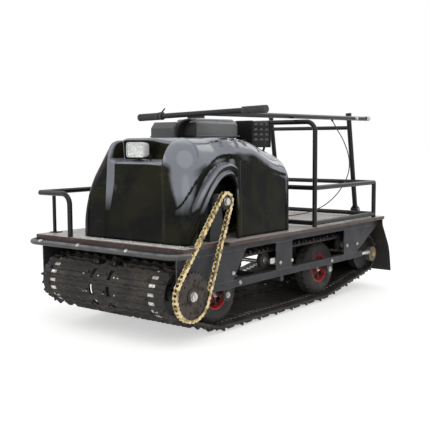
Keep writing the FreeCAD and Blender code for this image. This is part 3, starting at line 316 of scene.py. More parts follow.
def make_finishes(paints):
    """Every finish, by the name of the record's material slot or of the piece that wears it."""
    frame_colour = tuple(paints.frame)
    rows = {
        "film_faced_board": (faced_board, tuple(paints.board_edge), tuple(paints.board_face)),
        # the frame's pale grey edges are worn paint and a painted edge highlight
        "frame_paint": (painted, frame_colour, scaled(frame_colour, 1.35), 7.0, (0.4, 0.6), 0.12, 260.0, 0.3,
                        0.75, DUST, (0.26, 0.26, 0.27), 0.5, 0.004),
        "tube_paint": (painted, (0.007, 0.007, 0.008), (0.012, 0.012, 0.013), 12.0, (0.22, 0.36), 0.06, 420.0,
                       0.12, 0.25),
        "bare_steel": (metal, (0.60, 0.59, 0.57), (0.16, 0.12, 0.09), (0.25, 0.45)),
        "chain_steel": (metal, tuple(paints.chain), (0.10, 0.06, 0.03), (0.22, 0.42), 0.7, 45.0),
        "sprocket_steel": (metal, (0.080, 0.070, 0.064), (0.048, 0.036, 0.029), (0.45, 0.62), 0.6, 35.0),
        "belt_rubber": (rubber, (0.022, 0.020, 0.019), (0.046, 0.042, 0.038), 0.5),
        "tyre_rubber": (rubber, (0.024, 0.023, 0.022), (0.05, 0.046, 0.042), 0.35),
        "flap_rubber": (rubber, (0.022, 0.019, 0.016), (0.036, 0.031, 0.027), 0.25),
        "grip_rubber": (rubber, (0.05, 0.05, 0.05), (0.075, 0.075, 0.075), 0.1, 1400.0),
        "rim_paint": (painted, tuple(paints.rims), (0.36, 0.015, 0.012), 40.0, (0.28, 0.5), 0.2, 300.0, 0.2,
                      0.5, DUST, (0.20, 0.16, 0.14)),
        "black_plastic": (grained, (0.022, 0.022, 0.023), 900.0, 0.3),
        "hood_shell": (gloss_shell_painted_sky, tuple(paints.hood)),
        "lamp_plastic": (painted, (0.80, 0.80, 0.79), (0.68, 0.68, 0.67), 60.0, (0.2, 0.35), 0.1, 500.0, 0.2),
        "lamp_chrome": (metal, (0.95, 0.95, 0.94), (0.6, 0.6, 0.58), (0.06, 0.16), 0.3),
        "lamp_glass": (fluted_lens,),
        "engine_black": (painted, (0.010, 0.010, 0.011), (0.017, 0.017, 0.018), 14.0, (0.35, 0.55), 0.15,
                         300.0, 0.25, 0.35),
        "guard_black": (painted, (0.006, 0.006, 0.007), (0.010, 0.010, 0.011), 14.0, (0.45, 0.6), 0.1, 300.0,
                        0.1),
        # pale mottle, bluish tops and pale edges: painted highlights on the louvres
        "louvre_worn": (painted, (0.012, 0.012, 0.013), (0.12, 0.125, 0.13), 120.0, (0.3, 0.45), 0.1, 300.0,
                        0.6, 0.6, (0.42, 0.43, 0.45)),
        "bumper_paint": (painted, (0.045, 0.045, 0.047), (0.085, 0.085, 0.086), 18.0, (0.3, 0.5), 0.1, 300.0,
                         0.55, 0.3, (0.44, 0.43, 0.42)),
        "trim_pale": (metal, (0.74, 0.73, 0.71), (0.42, 0.39, 0.36), (0.5, 0.7), 0.45, 30.0),
        "cast_grey": (painted, (0.22, 0.22, 0.21), (0.30, 0.30, 0.29), 60.0, (0.45, 0.7), 0.7, 500.0, 0.3),
        "tank_paint": (painted, tuple(paints.tank), (0.17, 0.178, 0.19), 9.0, (0.3, 0.5), 0.12, 500.0, 0.5,
                       0.3, (0.45, 0.44, 0.42)),
        "cap_plastic": (grained, (0.018, 0.018, 0.019), 1200.0, 0.25),
        "cleaner_plastic": (grained, (0.075, 0.077, 0.080), 420.0, 0.9, (0.5, 0.7), 0.5),
        "cable_sheath": (painted, (0.018, 0.018, 0.018), (0.03, 0.03, 0.03), 40.0, (0.35, 0.5), 0.2, 900.0),
        "brass": (metal, (0.62, 0.45, 0.20), (0.18, 0.12, 0.07), (0.3, 0.5)),
        "trim_metal": (metal, (0.66, 0.65, 0.63), (0.30, 0.27, 0.24), (0.35, 0.55), 0.5, 30.0),
        "hub_steel": (painted, (0.12, 0.095, 0.075), (0.20, 0.165, 0.13), 50.0, (0.45, 0.65), 0.5, 300.0, 0.0,
                      0.5),
    }
    sheen = {"frame_paint": 0.3, "tube_paint": 0.3, "engine_black": 0.3, "guard_black": 0.2}
    options = {name: {"specular_ior_level": value} for name, value in sheen.items()}
    options["hub_steel"] = {"metallic": 0.4}
    for name, (kind, *values) in rows.items():
        FINISH[name] = kind(name, *values, **options.get(name, {}))


def dress_cad():
    """Gives each CAD node the finish of its slot in the record, or its own."""
    for part in frame["record"]["subparts"]:
        for place in frame["nodes"][part["node"]].material_slots:
            place.material = FINISH[OWN_FINISH.get(part["node"], part["material_slot"])]


# --- shapes: lists of points in the machine's own millimetres, and faces on them ---

def joined(*shapes):
    points = []
    faces = []
    for shape_points, shape_faces in shapes:
        start = len(points)
        points.extend(shape_points)
        faces.extend(tuple(start + corner for corner in face) for face in shape_faces)
    return points, faces


def moved(shape, matrix):
    points, faces = shape
    return [matrix @ Vector(point) for point in points], faces


def shifted(shape, x, y, z):
    return moved(shape, Matrix.Translation((x, y, z)))


def mirrored(half, *middle):
    """A profile of (along, radius) pairs, and then the same pairs backwards on the other side."""
    return [*half, *middle, *((-along, radius) for along, radius in reversed(half))]


def polar(radius, angle, y=0.0, z=0.0):
    return y + radius * math.cos(angle), z + radius * math.sin(angle)


def skin(rings, closed=False):
    """Faces from ring to ring, with both ends shut, or with the last ring joined to the first."""
    count = len(rings[0])
    total = len(rings)
    faces = []
    for level in range(total if closed else total - 1):
        low = level * count
        high = (level + 1) % total * count
        faces += [(low + k, low + (k + 1) % count, high + (k + 1) % count, high + k) for k in range(count)]
    if not closed:
        faces += [tuple(range(count - 1, -1, -1)), tuple(range((total - 1) * count, total * count))]
    return [point for ring in rings for point in ring], faces


def block(x_low, x_high, y_low, y_high, z_low, z_high, edge, segments=1):
    """A block with rounded edges."""
    work = bmesh.new()
    bmesh.ops.create_cube(work, size=1.0)
    size = Vector((x_high - x_low, y_high - y_low, z_high - z_low))
    centre = Vector((x_high + x_low, y_high + y_low, z_high + z_low)) / 2
    for vert in work.verts:
        vert.co = vert.co * size + centre
    bmesh.ops.bevel(work, geom=work.edges[:], offset=edge, segments=segments, profile=0.5, affect="EDGES",
                    clamp_overlap=True)
    work.verts.index_update()
    points = [vert.co.copy() for vert in work.verts]
    faces = [tuple(vert.index for vert in face.verts) for face in work.faces]
    work.free()
    return points, faces


AXES = {"x": (0, 1, 2), "y": (1, 2, 0), "z": (2, 0, 1)}


def on_axis(axis, along, second, third):
    point = [0.0, 0.0, 0.0]
    for place, value in zip(AXES[axis], (along, second, third)):
        point[place] = value
    return Vector(point)


def lathe(profile, axis, sides, place=(0, 0, 0), ring=False):
    """Turns (along, radius) pairs round an axis; a ring's profile closes on itself."""
    angles = [FULL_TURN * index / sides for index in range(sides)]
    rings = [[on_axis(axis, along, *polar(radius, angle)) for angle in angles] for along, radius in profile]
    return shifted(skin(rings, ring), *place)


def aimed(start, end):
    """The matrix that carries the Z axis onto a line, and the line's length."""
    along = Vector(end) - Vector(start)
    return Matrix.Translation(start) @ along.to_track_quat("Z", "Y").to_matrix().to_4x4(), along.length


def rod(start, end, radius, sides=16, edge=0.8):
    matrix, length = aimed(start, end)
    edge = min(edge, radius * 0.4, length * 0.3)
    profile = [(0, radius - edge), (edge, radius), (length - edge, radius), (length, radius - edge)]
    return moved(lathe(profile, "z", sides), matrix)


def slab(outline, low, high, axis, edge):
    """A flat outline made thick along an axis, with its rims broken by a small chamfer."""
    count = len(outline)
    turn = sum(outline[i - 1][0] * outline[i][1] - outline[i][0] * outline[i - 1][1] for i in range(count))
    sign = 1 if turn > 0 else -1

    def ring(offset, along):
        found = []
        for index in range(count):
            before, here, after = (Vector(outline[(index + step) % count]) for step in (-1, 0, 1))
            one = (here - before).normalized()
            two = (after - here).normalized()
            side = Vector((-one.y - two.y, one.x + two.x)).normalized()
            side *= sign * offset / max(0.4, math.cos(one.angle(two, 0.0) / 2))
            found.append(on_axis(axis, along, here.x + side.x, here.y + side.y))
        return found

    return skin([ring(edge, low), ring(0, low + edge), ring(0, high - edge), ring(edge, high)])


def hex_bolt(place, towards, across, height, washer):
    """A hexagon head on a washer, its foot at a place and its head towards a direction."""
    disc = [(0, washer), (1.2, washer), (1.6, washer - 0.5)]
    head = [(1.6, across * 0.98), (1.6, across), (height, across), (height + 1.2, across * 0.8)]
    tip = [(height + 1.0, across * 0.45), (height + 3.0, across * 0.40), (height + 3.6, across * 0.25)]
    bolt = joined(lathe(disc, "z", 20), lathe(head, "z", 6), lathe(tip, "z", 12))
    return moved(bolt, aimed(place, Vector(place) + Vector(towards))[0])


def dome_bolt(place, towards, radius, height):
    profile = [(0, radius), (0.8, radius)]
    profile += [(0.8 + height * math.sin(a), radius * 0.92 * math.cos(a)) for a in (0.3, 0.7, 1.1, 1.4)]
    return moved(lathe(profile, "z", 16), aimed(place, Vector(place) + Vector(towards))[0])


def tube(points, radius, sides):
    """A round bar along a line of points."""
    line = [Vector(point) for point in points]
    rings = []
    normal = None
    for index, here in enumerate(line):
        along = (line[min(index + 1, len(line) - 1)] - line[max(index - 1, 0)]).normalized()
        if normal is None:
            normal = along.orthogonal().normalized()
        normal = (normal - along * normal.dot(along)).normalized()
        other = along.cross(normal)
        offsets = [polar(radius, FULL_TURN * step / sides) for step in range(sides)]
        rings.append([here + normal * a + other * b for a, b in offsets])
    return skin(rings)


def mesh_of(name, shape):
    points, faces = shape
    mesh = bpy.data.meshes.new(name)
    mesh.from_pydata([Vector(point) * MM + ORIGIN for point in points], [], faces)
    work = bmesh.new()
    work.from_mesh(mesh)
    bmesh.ops.recalc_face_normals(work, faces=work.faces[:])
    work.to_mesh(mesh)
    work.free()
    return mesh


def link(name, data):
    thing = bpy.data.objects.new(name, data)
    bpy.context.scene.collection.objects.link(thing)
    return thing


def put(name, data, stands_for, body="chassis"):
    """Puts an object in the scene on its body and for the node that it replaces."""
    thing = link(name, data)
    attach(thing, body)
    if stands_for:
        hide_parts(stands_for)
    return thing


def piece(name, finish, *shapes, stands_for=None, body="chassis", slot=None, sharp=35.0):
    """Makes an object of shapes, dresses it and puts it in the scene."""
    mesh = mesh_of(name, joined(*shapes))
    mesh.materials.append(FINISH[finish])
    mesh.shade_smooth()
    mesh.set_sharp_from_angle(angle=math.radians(sharp))
    return put(name, mesh, stands_for, body)


# --- bands round wheels ---

def wrap_line(circles, extra=0.0, step=4.0):
    """Points of the closed line of a band round circles (y, z, radius), in order."""
    centres = [(Vector((y, z)), radius + extra) for y, z, radius in circles]
    tangents = []
    for (start, r_start), (end, r_end) in zip(centres, centres[1:] + centres[:1]):
        along = end - start
        distance = along.length
        along.normalize()
        side = Vector((along.y, -along.x))
        tilt = (r_start - r_end) / distance
        normal = along * tilt + side * math.sqrt(1 - tilt * tilt)
        tangents.append((start + normal * r_start, end + normal * r_end))
    line = []
    for index, (start, end) in enumerate(tangents):
        pieces = max(1, round((end - start).length / step))
        line += [start.lerp(end, k / pieces) for k in range(pieces)]
        centre, radius = centres[(index + 1) % len(centres)]
        following = tangents[(index + 1) % len(tangents)][0]
        arrive = math.atan2(end.y - centre.y, end.x - centre.x)
        sweep = (math.atan2(following.y - centre.y, following.x - centre.x) - arrive) % FULL_TURN
        pieces = max(1, round(sweep * radius / step))
        line += [centre + Vector(polar(1, arrive + sweep * k / pieces)) * radius for k in range(pieces)]
    return line


def line_length(line):
    return sum((line[index] - line[index - 1]).length for index in range(len(line)))


def even_points(line, count, first=0.0):
    """That many evenly spaced places along a closed line, each with its direction."""
    closed = np.array([tuple(point) for point in line] + [tuple(line[0])])
    run = np.concatenate([[0.0], np.cumsum(np.hypot(*np.diff(closed, axis=0).T))])
    total = run[-1]
    ahead = ((np.arange(count) + first) * total / count) % total
    before, places, after = (
        np.stack([np.interp((ahead + step) % total, run, closed[:, k]) for k in (0, 1)], axis=1)
        for step in (-2.0, 0.0, 2.0))
    along = after - before
    along /= np.hypot(along[:, 0], along[:, 1])[:, None]
    return list(zip(places, along))


# --- track ---

ROAD_HEIGHT = 160.3
FRONT_AXLE = -490.0
REAR_AXLE = 313.0
DRIVE = (-755.0, 200.0)
IDLER = (728.0, 188.0)
CARRIER_HEIGHT = 263.0
CARRIERS = (-192.0, 470.0)
TRACK_CIRCLES = ((*DRIVE, 86.0), (FRONT_AXLE, ROAD_HEIGHT, 130.3), (REAR_AXLE, ROAD_HEIGHT, 130.3),
                 (*IDLER, 86.0), (CARRIERS[1], CARRIER_HEIGHT, 34.3), (CARRIERS[0], CARRIER_HEIGHT, 34.3))
CLIP_LINE = 284
# a belt cell's faces as corners (ahead, across, outwards), and its walls with the neighbour that hides each
CELL_FACES = (((0, 0, 1), (0, 1, 1), (1, 1, 1), (1, 0, 1)), ((0, 0, 0), (1, 0, 0), (1, 1, 0), (0, 1, 0)))
CELL_WALLS = (((0, -1), ((0, 0, 0), (0, 0, 1), (1, 0, 1), (1, 0, 0))),
              ((0, 1), ((0, 1, 0), (1, 1, 0), (1, 1, 1), (0, 1, 1))),
              ((-1, 0), ((0, 0, 0), (0, 1, 0), (0, 1, 1), (0, 0, 1))),
              ((1, 0), ((1, 0, 0), (1, 0, 1), (1, 1, 1), (1, 1, 0))))


def lift(place, along, x, out):
    """A point on a band: outwards from its line by a height."""
    return Vector((x, place[0] + along[1] * out, place[1] - along[0] * out))


def belt_shape(cells, width, thickness):
    """The belt with its rows of driving windows."""
    half = width / 2
    inner = (302, 266, 62, 36)
    columns = [-half, 2 - half, *(-x for x in inner), 0, *reversed(inner), half - 2, half]
    across = len(columns)
    points = []
    for place, along in even_points(wrap_line(TRACK_CIRCLES), cells):
        for x in columns:
            shave = 2.0 if abs(x) == half else 0.0
            points += [lift(place, along, x, shave), lift(place, along, x, thickness - shave)]

    def solid(i, j):
        return 0 <= j < across - 1 and not (columns[j] in (-62, 36) and i % 8 in (1, 2, 3, 4, 5))

    faces = []
    for i in range(cells):
        for j in range(across - 1):
            if solid(i, j):
                walls = [wall for (a, b), wall in CELL_WALLS if not solid(i + a, j + b)]
                faces += [tuple(((i + a) % cells * across + j + b) * 2 + out for a, b, out in wall)
                          for wall in (*CELL_FACES, *walls)]
    return points, faces


def lug_shape(place, along, turn, low, high, height, thickness):
    """One grouser: a bar across the belt whose crest is cut into leaning teeth."""
    section = ((-9.0, -1.0), (-6.0, 0.35), (-3.2, 1.0), (3.2, 1.0), (6.0, 0.35), (9.0, -1.0))
    rings = []
    count = int((high - low) / 14)
    for index in range(count + 1):
        x = low + (high - low) * index / count
        share, lean = ((0.62, -2.5), (1.0, 1.5), (0.94, 2.5), (0.5, -1.0))[(index + 2 * turn) % 4]
        if abs(abs(x) - 49) < 16:
            share = 0.25
        if abs(abs(x) - CLIP_LINE) < 20:
            share = 0.30
        if abs(x) > 322:
            share *= 0.72
        ring = []
        for ahead, part in section:
            up = thickness + (height * share * part if part > 0 else -1.5)
            offset = ahead + (lean * part if part > 0 else 0)
            ring.append(lift(place + along * offset, along, x, up))
        rings.append(ring)
    return skin(rings)


def placed_on_belt(shape, place, along, x, out=0.0):
    """A small shape, its Z outwards and its Y along the belt, put on the belt."""
    outward = Vector((0, along[1], -along[0]))
    forward = Vector((0, along[0], along[1]))
    matrix = Matrix((Vector((1, 0, 0)), forward, outward)).transposed().to_4x4()
    return moved(shape, Matrix.Translation(lift(place, along, x, out)) @ matrix)


def make_track(track):
    width, thickness, height = (value / MM for value in (track.width, track.thickness, track.lug_height))
    count = round(line_length(wrap_line(TRACK_CIRCLES, thickness)) / (track.pitch / MM))
    belt = belt_shape(8 * count, width, thickness)
    piece("track_belt", "belt_rubber", belt, stands_for="track", sharp=40.0)
    base = wrap_line(TRACK_CIRCLES)
    half = width / 2 - 2
    lugs = [lug_shape(*spot, turn, -half, half, height, thickness)
            for turn, spot in enumerate(even_points(base, count, 7.5 / 8))]
    lugs += [lug_shape(*spot, turn + 1, low, high, 0.55 * height, thickness)
             for turn, spot in enumerate(even_points(base, count, 3.5 / 8))
             for low, high in ((-half, -306), (-262, -72), (-28, 28), (72, 262), (306, half))]
    piece("track_lugs", "belt_rubber", *lugs, stands_for="track", sharp=28.0)
    clip = joined(block(-15, 15, -7, 7, -1.5, 1.6, 1.2), block(-11, 11, -4, 4, 1, 3.4, 1.2))
    inner_clip = block(-15, 15, -8, 8, -2.2, 1.0, 1.0)
    clips = []
    for spot in even_points(base, 2 * count, 0.4):
        for x in (-CLIP_LINE, CLIP_LINE):
            clips += [placed_on_belt(clip, *spot, x, thickness), placed_on_belt(inner_clip, *spot, x)]
    piece("track_clips", "bare_steel", *clips, stands_for="track")
    stud = lathe([(0, 5.0), (1.4, 4.4), (2.2, 2.6)], "z", 10)
    studs = [placed_on_belt(stud, *spot, x, thickness)
             for turn, spot in enumerate(even_points(base, count, 0.55))
             for x in ((-96, -78, 20, 84), (-104, -16, 74, 96))[turn % 2]]
    piece("track_studs", "bare_steel", *studs, stands_for="track")


# --- wheels ---

WHEEL_X = 281.0


def tyre_shape(x, y, outer, width, rim):
    """A pneumatic tyre with tread blocks in two staggered rows."""
    half = width / 2
    flank = [(9 - half, rim - 1), (7 - half, rim + 6), (2 - half, rim + 13), (-half, rim + 24),
             (-half, outer - 30), (3 - half, outer - 18), (9 - half, outer - 8), (18 - half, outer - 2.5),
             (-20, outer), (-3, outer)]
    sides = 144
    points, faces = lathe(mirrored(flank, (0, outer - 3)), "x", sides, ring=True)
    for index, point in enumerate(points):
        radius = math.hypot(point.y, point.z)
        if radius > outer - 20 and (index % sides + (3 if point.x > 0 else 0)) % 6 < 2:
            share = 1 - (5.0 if radius > outer - 10 else 2.5) / radius
            point.yz = point.yz * share
    return shifted((points, faces), x, y, ROAD_HEIGHT)


def rim_shape(x, y, radius):
    """A pressed rim with wire spokes between its ring and its hub."""
    pressed = ((-30, -1), (-30, -6), (-24, -11), (-8, -15), (8, -15), (24, -11), (30, -6), (30, -1), (26, 2),
               (20, -4), (8, -9), (-8, -9), (-20, -4), (-26, 2))
    ring = lathe([(along, radius + rise) for along, rise in pressed], "x", 64, ring=True)
    hub = lathe(mirrored([(-26, 12), (-26, 17), (-18, 20), (-16, 15)]), "x", 32)
    spokes = []
    count = 28
    for index in range(count):
        side = 20 if index % 2 else -20
        start = FULL_TURN * index / count
        end = start + (0.36 if index % 4 < 2 else -0.36)
        spokes.append(rod((side, *polar(18, start)), (side * 0.8, *polar(radius - 12, end)), 1.7, 6))
    return shifted(joined(ring, hub, *spokes), x, y, ROAD_HEIGHT)


def rim_shade_disc(x, y, radius):
    """A black web and barrel behind the spokes: painted shade inside the rim, where the rim's own web stands.
    """
    web = lathe(mirrored([(-2, 14), (-2, radius - 13)]), "x", 48)
    barrel = [(-17, radius - 17), (17, radius - 17), (17, radius - 15.5), (-17, radius - 15.5)]
    return shifted(joined(web, lathe(barrel, "x", 48, ring=True)), x, y, ROAD_HEIGHT)


def make_wheels(wheels):
    radius, rim, width = (value / MM for value in (wheels.tyre_radius, wheels.rim_radius, wheels.tyre_width))
    places = (WHEEL_X, -WHEEL_X)
    for end, y in (("front", FRONT_AXLE), ("rear", REAR_AXLE)):
        piece(end + "_tyres_treaded", "tyre_rubber", *(tyre_shape(x, y, radius, width, rim) for x in places),
              stands_for=end + "_tyres", sharp=50.0)
        piece(end + "_rims_spoked", "rim_paint", *(rim_shape(x, y, rim) for x in places),
              stands_for=end + "_rims")
        # black discs that paint the shade behind the spokes
        piece(end + "_rim_shade_discs", "black_plastic", *(rim_shade_disc(x, y, rim) for x in places), slot="rim_paint")
        caps = []
        for sign in (1, -1):
            x = sign * WHEEL_X
            caps += [hex_bolt((x + sign * 26, y, ROAD_HEIGHT), (sign, 0, 0), 13, 8, 17),
                     rod((x - sign * 22, y + 38, ROAD_HEIGHT + 34),
                         (x + sign * 44, y + 40, ROAD_HEIGHT + 36), 3.4, 10)]
        piece(end + "_hub_caps", "bare_steel", *caps)


# --- chain drive ---

CHAIN_X = 408.0
PITCH = 19.05
OUTPUT = (-548.0, 546.0)
LARGE_TEETH = 31
SMALL_TEETH = 11


def pitch_radius(teeth):
    return PITCH / (2 * math.sin(math.pi / teeth))


def link_plate(length, x_low):
    """A waisted plate with a round end about each of its two pins."""
    end, waist = 7.6, 5.2
    outline = [polar(end, math.radians(100 + 20 * index)) for index in range(9)]
    outline.append((length / 2, -waist))
    outline += [polar(end, math.radians(20 * index - 80), length) for index in range(9)]
    outline.append((length / 2, waist))
    return slab(outline, x_low, x_low + 2.0, "x", 0.5)


def make_chain():
    line = wrap_line(((*DRIVE, pitch_radius(LARGE_TEETH)), (*OUTPUT, pitch_radius(SMALL_TEETH))), step=2.0)
    points = [place for place, _ in even_points(line, 2 * round(line_length(line) / PITCH / 2))]
    roller = joined(lathe(mirrored([(-5.2, 5.2), (-4.8, 5.8)]), "x", 14),
                    lathe(mirrored([(-10.8, 2.2), (-10.4, 3.0)]), "x", 10))
    plates = []
    rollers = []
    for index, here in enumerate(points):
        step = points[(index + 1) % len(points)] - here
        matrix = Matrix.Translation((CHAIN_X, *here)) @ Matrix.Rotation(math.atan2(step[1], step[0]), 4, "X")
        near = (5.6, 8.0)[index % 2]
        plates += [moved(link_plate(float(np.hypot(*step)), x_low), matrix) for x_low in (near, -near - 2.0)]
        rollers.append(moved(roller, matrix))
    piece("chain_link_plates", "chain_steel", *plates, stands_for="drive_chain")
    piece("chain_rollers", "chain_steel", *rollers, stands_for="drive_chain")


def sprocket(teeth, centre):
    """Tooth points between round roller seats."""
    radius = pitch_radius(teeth)
    tooth = ((-0.20, -5.2), (-0.1, -5.9), (0.1, -5.9), (0.20, -5.2), (0.32, -1.5), (0.43, 2.6), (0.57, 2.6),
             (0.68, -1.5))
    outline = [polar(radius + rise, (index + turn) * FULL_TURN / teeth)
               for index in range(teeth) for turn, rise in tooth]
    return shifted(slab(outline, -4.0, 4.0, "x", 1.0), CHAIN_X, *centre)


def make_sprockets():
    on_drive = (CHAIN_X, *DRIVE)
    on_output = (CHAIN_X, *OUTPUT)
    large = piece("large_sprocket", "sprocket_steel", sprocket(LARGE_TEETH, DRIVE),
                  stands_for="chain_sprocket_large")
    spots = [polar(62, math.radians(18 + 60 * index), *DRIVE) for index in range(6)]
    drill(large, joined(*(rod((CHAIN_X - 12, *spot), (CHAIN_X + 12, *spot), 4.2, 14, 0.2) for spot in spots)))
    piece("small_sprocket", "sprocket_steel", sprocket(SMALL_TEETH, OUTPUT),
          stands_for="chain_sprocket_small")
    piece("sprocket_hub", "sprocket_steel", lathe([(4, 31), (7, 31), (8, 29)], "x", 40, on_drive),
          lathe([(-14, 26), (-4, 28)], "x", 40, on_drive))
    piece("axle_end_bolt", "bare_steel", hex_bolt((CHAIN_X + 8, *DRIVE), (1, 0, 0), 11.5, 7, 19),
          lathe([(4, 16), (6, 16), (7, 15)], "x", 32, on_output))
    piece("output_shaft_end", "trim_metal",
          lathe([(6, 11.5), (10, 11.5), (12.5, 10), (13.8, 6)], "x", 32, on_output))


def drill(thing, cutter_shape):
    """Takes a shape's volume out of a piece."""
    cutter = link("cutter", mesh_of("cutter", cutter_shape))
    change = thing.modifiers.new("holes", "BOOLEAN")
    change.operation = "DIFFERENCE"
    change.solver = "EXACT"
    change.object = cutter
    bpy.context.view_layer.update()
    made = bpy.data.meshes.new_from_object(thing.evaluated_get(bpy.context.evaluated_depsgraph_get()))
    thing.modifiers.clear()
    thing.data = made
    bpy.data.objects.remove(cutter)


# --- hood ---

def soft_max(first, second, radius):
    """Meets two fields with a round corner of that radius."""
    a = first + radius
    b = second + radius
    return np.sqrt(np.maximum(a, 0) ** 2 + np.maximum(b, 0) ** 2) + np.minimum(np.maximum(a, b), 0) - radius


def crease(first, second, width):
    """Meets two nearly parallel fields with a soft crease."""
    near = np.maximum(width - np.abs(first - second), 0) / width
    return np.maximum(first, second) + near * near * width / 4


def ease(value, low, high):
    share = np.clip((value - low) / (high - low), 0, 1)
    return share * share * (3 - 2 * share)


def line_distance(y, z, outline):
    """Distance to a closed outline in the side view, negative inside it."""
    best = np.full(np.broadcast(y, z).shape, 1e9, np.float32)
    inside = np.zeros(best.shape, bool)
    for index in range(len(outline)):
        (ay, az), (by, bz) = outline[index - 1], outline[index]
        ey, ez = by - ay, bz - az
        share = np.clip(((y - ay) * ey + (z - az) * ez) / (ey * ey + ez * ez), 0, 1)
        best = np.minimum(best, (y - ay - share * ey) ** 2 + (z - az - share * ez) ** 2)
        crosses = (az > z) != (bz > z)
        inside ^= crosses & (y < ey * (z - az) / (ez if ez else 1e-9) + ay)
    best = np.sqrt(best)
    return np.where(inside, -best, best)


def rounded_line(points, radius):
    """An outline whose corners are rounded."""
    found = []
    steps = 7
    count = len(points)
    for index in range(count):
        before, here, after = (Vector(points[(index + k) % count]) for k in (-1, 0, 1))
        reach = min(radius, 0.45 * (before - here).length, 0.45 * (after - here).length)
        start = here + (before - here).normalized() * reach
        end = here + (after - here).normalized() * reach
        for k in range(steps + 1):
            t = k / steps
            found.append(tuple(start * (1 - t) ** 2 + here * (2 * t * (1 - t)) + end * t * t))
    return found


DECK_TOP = 386.0
ARCH = rounded_line([(-694, 340), (-690, 450), (-668, 486), (-598, 588), (-540, 640), (-478, 650),
                     (-446, 606), (-438, 520), (-438, 340)], 34)
# the hood's air slots: their places along it, and their sizes
SLOT_PLACES = ((-508, 0.75), (-436, 1.25), (-368, 0.9))


def hood_field(x, y, z, top):
    """The hood's outside as a field in millimetres: below zero inside the hood."""
    # the side walls: the left one upright, the right one with a shoulder cut off aslant
    left = x - (384 - 5 * ease(z, 520, 790))
    shoulder = -0.808 * (x + 217) + 0.589 * (z - 561)
    side = np.maximum(left, soft_max(-217 - x, shoulder, 90.0))
    # a hollow round the arch that ends in a crease
    around = line_distance(y, z, ARCH)
    brink = 80 + 18 * ease(-y, 590, 720)
    hollow = ease(around, 36, 50) * (1 - ease(around, brink - 9, brink + 3))
    side = side + 18 * hollow * ease(z, 440, 500) * (1 - ease(y, -476, -444)) * (x > 83)
    # the flat panel behind the arch, a step lower than what frames it
    inset = ease(y, -416, -409) * ease(704 - 0.2 * (y + 415) - z, 0, 7) * ease(-y, 78, 85)
    side = side + 5 * inset * (x > 83)
    # the nose: round pillars at both corners, a flat panel set back between them
    away = np.abs(x - 108)
    panel_half = 137 + 20 * (1 - ease(z, 420, 700))
    set_back = (1 - ease(away, panel_half - 10, panel_half + 16)) * (3 + 19 * ease(z, DECK_TOP, 660))
    lean = 4 * ease(z, DECK_TOP, 560) + 4 * ease(z, 560, 797)
    front = (-760 + lean + set_back) - y
    corner = np.where(x > 108, 34 + 74 * ease(z, 430, 690), 64)
    wall = soft_max(soft_max(side, front, corner), y + 46, 30.0)
    # the roof: level over the engine, then sloping down behind it
    slope = 0.975 * (z - top) + 0.22 * (y + 368)
    roundover = (66 + 56 * ease(y, -330, -110) + 56 * ease(-y, 420, 560) * ease(x, 90, 250)
                 - 34 * ease(-y, 560, 640) * ease(-x, -60, 20))
    field = soft_max(wall, crease(z - top, slope, 24.0), roundover)
    # the lamp's recess between the bulges
    recess = np.maximum(np.abs(x - 107.5) - 137.5, y + 665 + 0.10 * (z - 700))
    field = soft_max(field, -soft_max(recess, 704 - z, 12.0), 12.0)
    # triangular air slots on the left shoulder
    down = (x - 300) + (top - z)
    for place_y, size in SLOT_PLACES:
        along = (y - place_y) / size
        across = (down - 64) / size
        notch = np.maximum(np.abs(along - 0.12 * across) - 24 + 0.4 * across, -across - 34)
        notch = np.maximum(np.maximum(notch, across - 46), np.abs(field) - 10)
        field = soft_max(field, -(notch + 1.5), 3.0)
    return field


def hood_shell_field(x, y, z, hood):
    """The hood as a thin shell, open below, at the arch and over the engine."""
    wall = hood.wall / MM + 5 * ease(-y, 640, 690)
    outside = hood_field(x, y, z, hood.top / MM)
    shell = np.maximum(np.maximum(outside, -outside - wall), DECK_TOP + 0.6 - z)
    shell = soft_max(shell, -np.maximum(line_distance(y, z, ARCH), 300 - x), 3.5)
    hole = np.maximum(np.maximum(np.abs(x - 95) - 164, np.abs(y + 330) - 168), 600 - z)
    return soft_max(shell, -hole, 4.0)


def cut(axis, low, high, rest=slice(None)):
    """The part of a grid from low to high along one axis."""
    found = [rest] * 3
    found[axis] = slice(low, high)
    return tuple(found)


def surface_net(values, low, step):
    """Faces where a field of values on a grid crosses zero, one point in each cell that it crosses."""
    inside = values < 0
    shape = tuple(n - 1 for n in values.shape)
    total = np.zeros(shape + (3,), np.float32)
    hits = np.zeros(shape, np.int32)
    for axis in range(3):
        a, b = values[cut(axis, 0, -1)], values[cut(axis, 1, None)]
        crossed = (a < 0) != (b < 0)
        share = np.where(crossed, a / np.where(crossed, a - b, 1), 0)
        first, second = (k for k in range(3) if k != axis)
        for one, two in ((0, 0), (0, 1), (1, 0), (1, 1)):
            corner = [slice(None)] * 3
            corner[first] = slice(one, one + shape[first])
            corner[second] = slice(two, two + shape[second])
            here = crossed[tuple(corner)]
            for k, part in ((axis, share[tuple(corner)]), (first, one), (second, two)):
                total[..., k] += np.where(here, part, 0)
            hits += here
    used = hits > 0
    number = np.full(shape, -1, np.int64)
    number[used] = np.arange(used.sum())
    points = (np.argwhere(used) + total[used] / hits[used][:, None]) * step + np.array(low)
    faces = []
    for axis in range(3):
        start = inside[cut(axis, 0, -1, slice(1, -1))]
        crossed = np.argwhere(start != inside[cut(axis, 1, None, slice(1, -1))])
        leaves = start[tuple(crossed.T)]
        first, second = (k for k in range(3) if k != axis)
        crossed[:, (first, second)] += 1
        corners = []
        for one, two in ((0, 0), (1, 0), (1, 1), (0, 1)):
            spot = crossed.copy()
            spot[:, first] -= one
            spot[:, second] -= two
            corners.append(number[tuple(spot.T)])
        quads = np.stack(corners, axis=1)
        flip = leaves if axis != 1 else ~leaves
        quads[flip] = quads[flip][:, ::-1]
        faces.append(quads)
    return points, np.concatenate(faces)


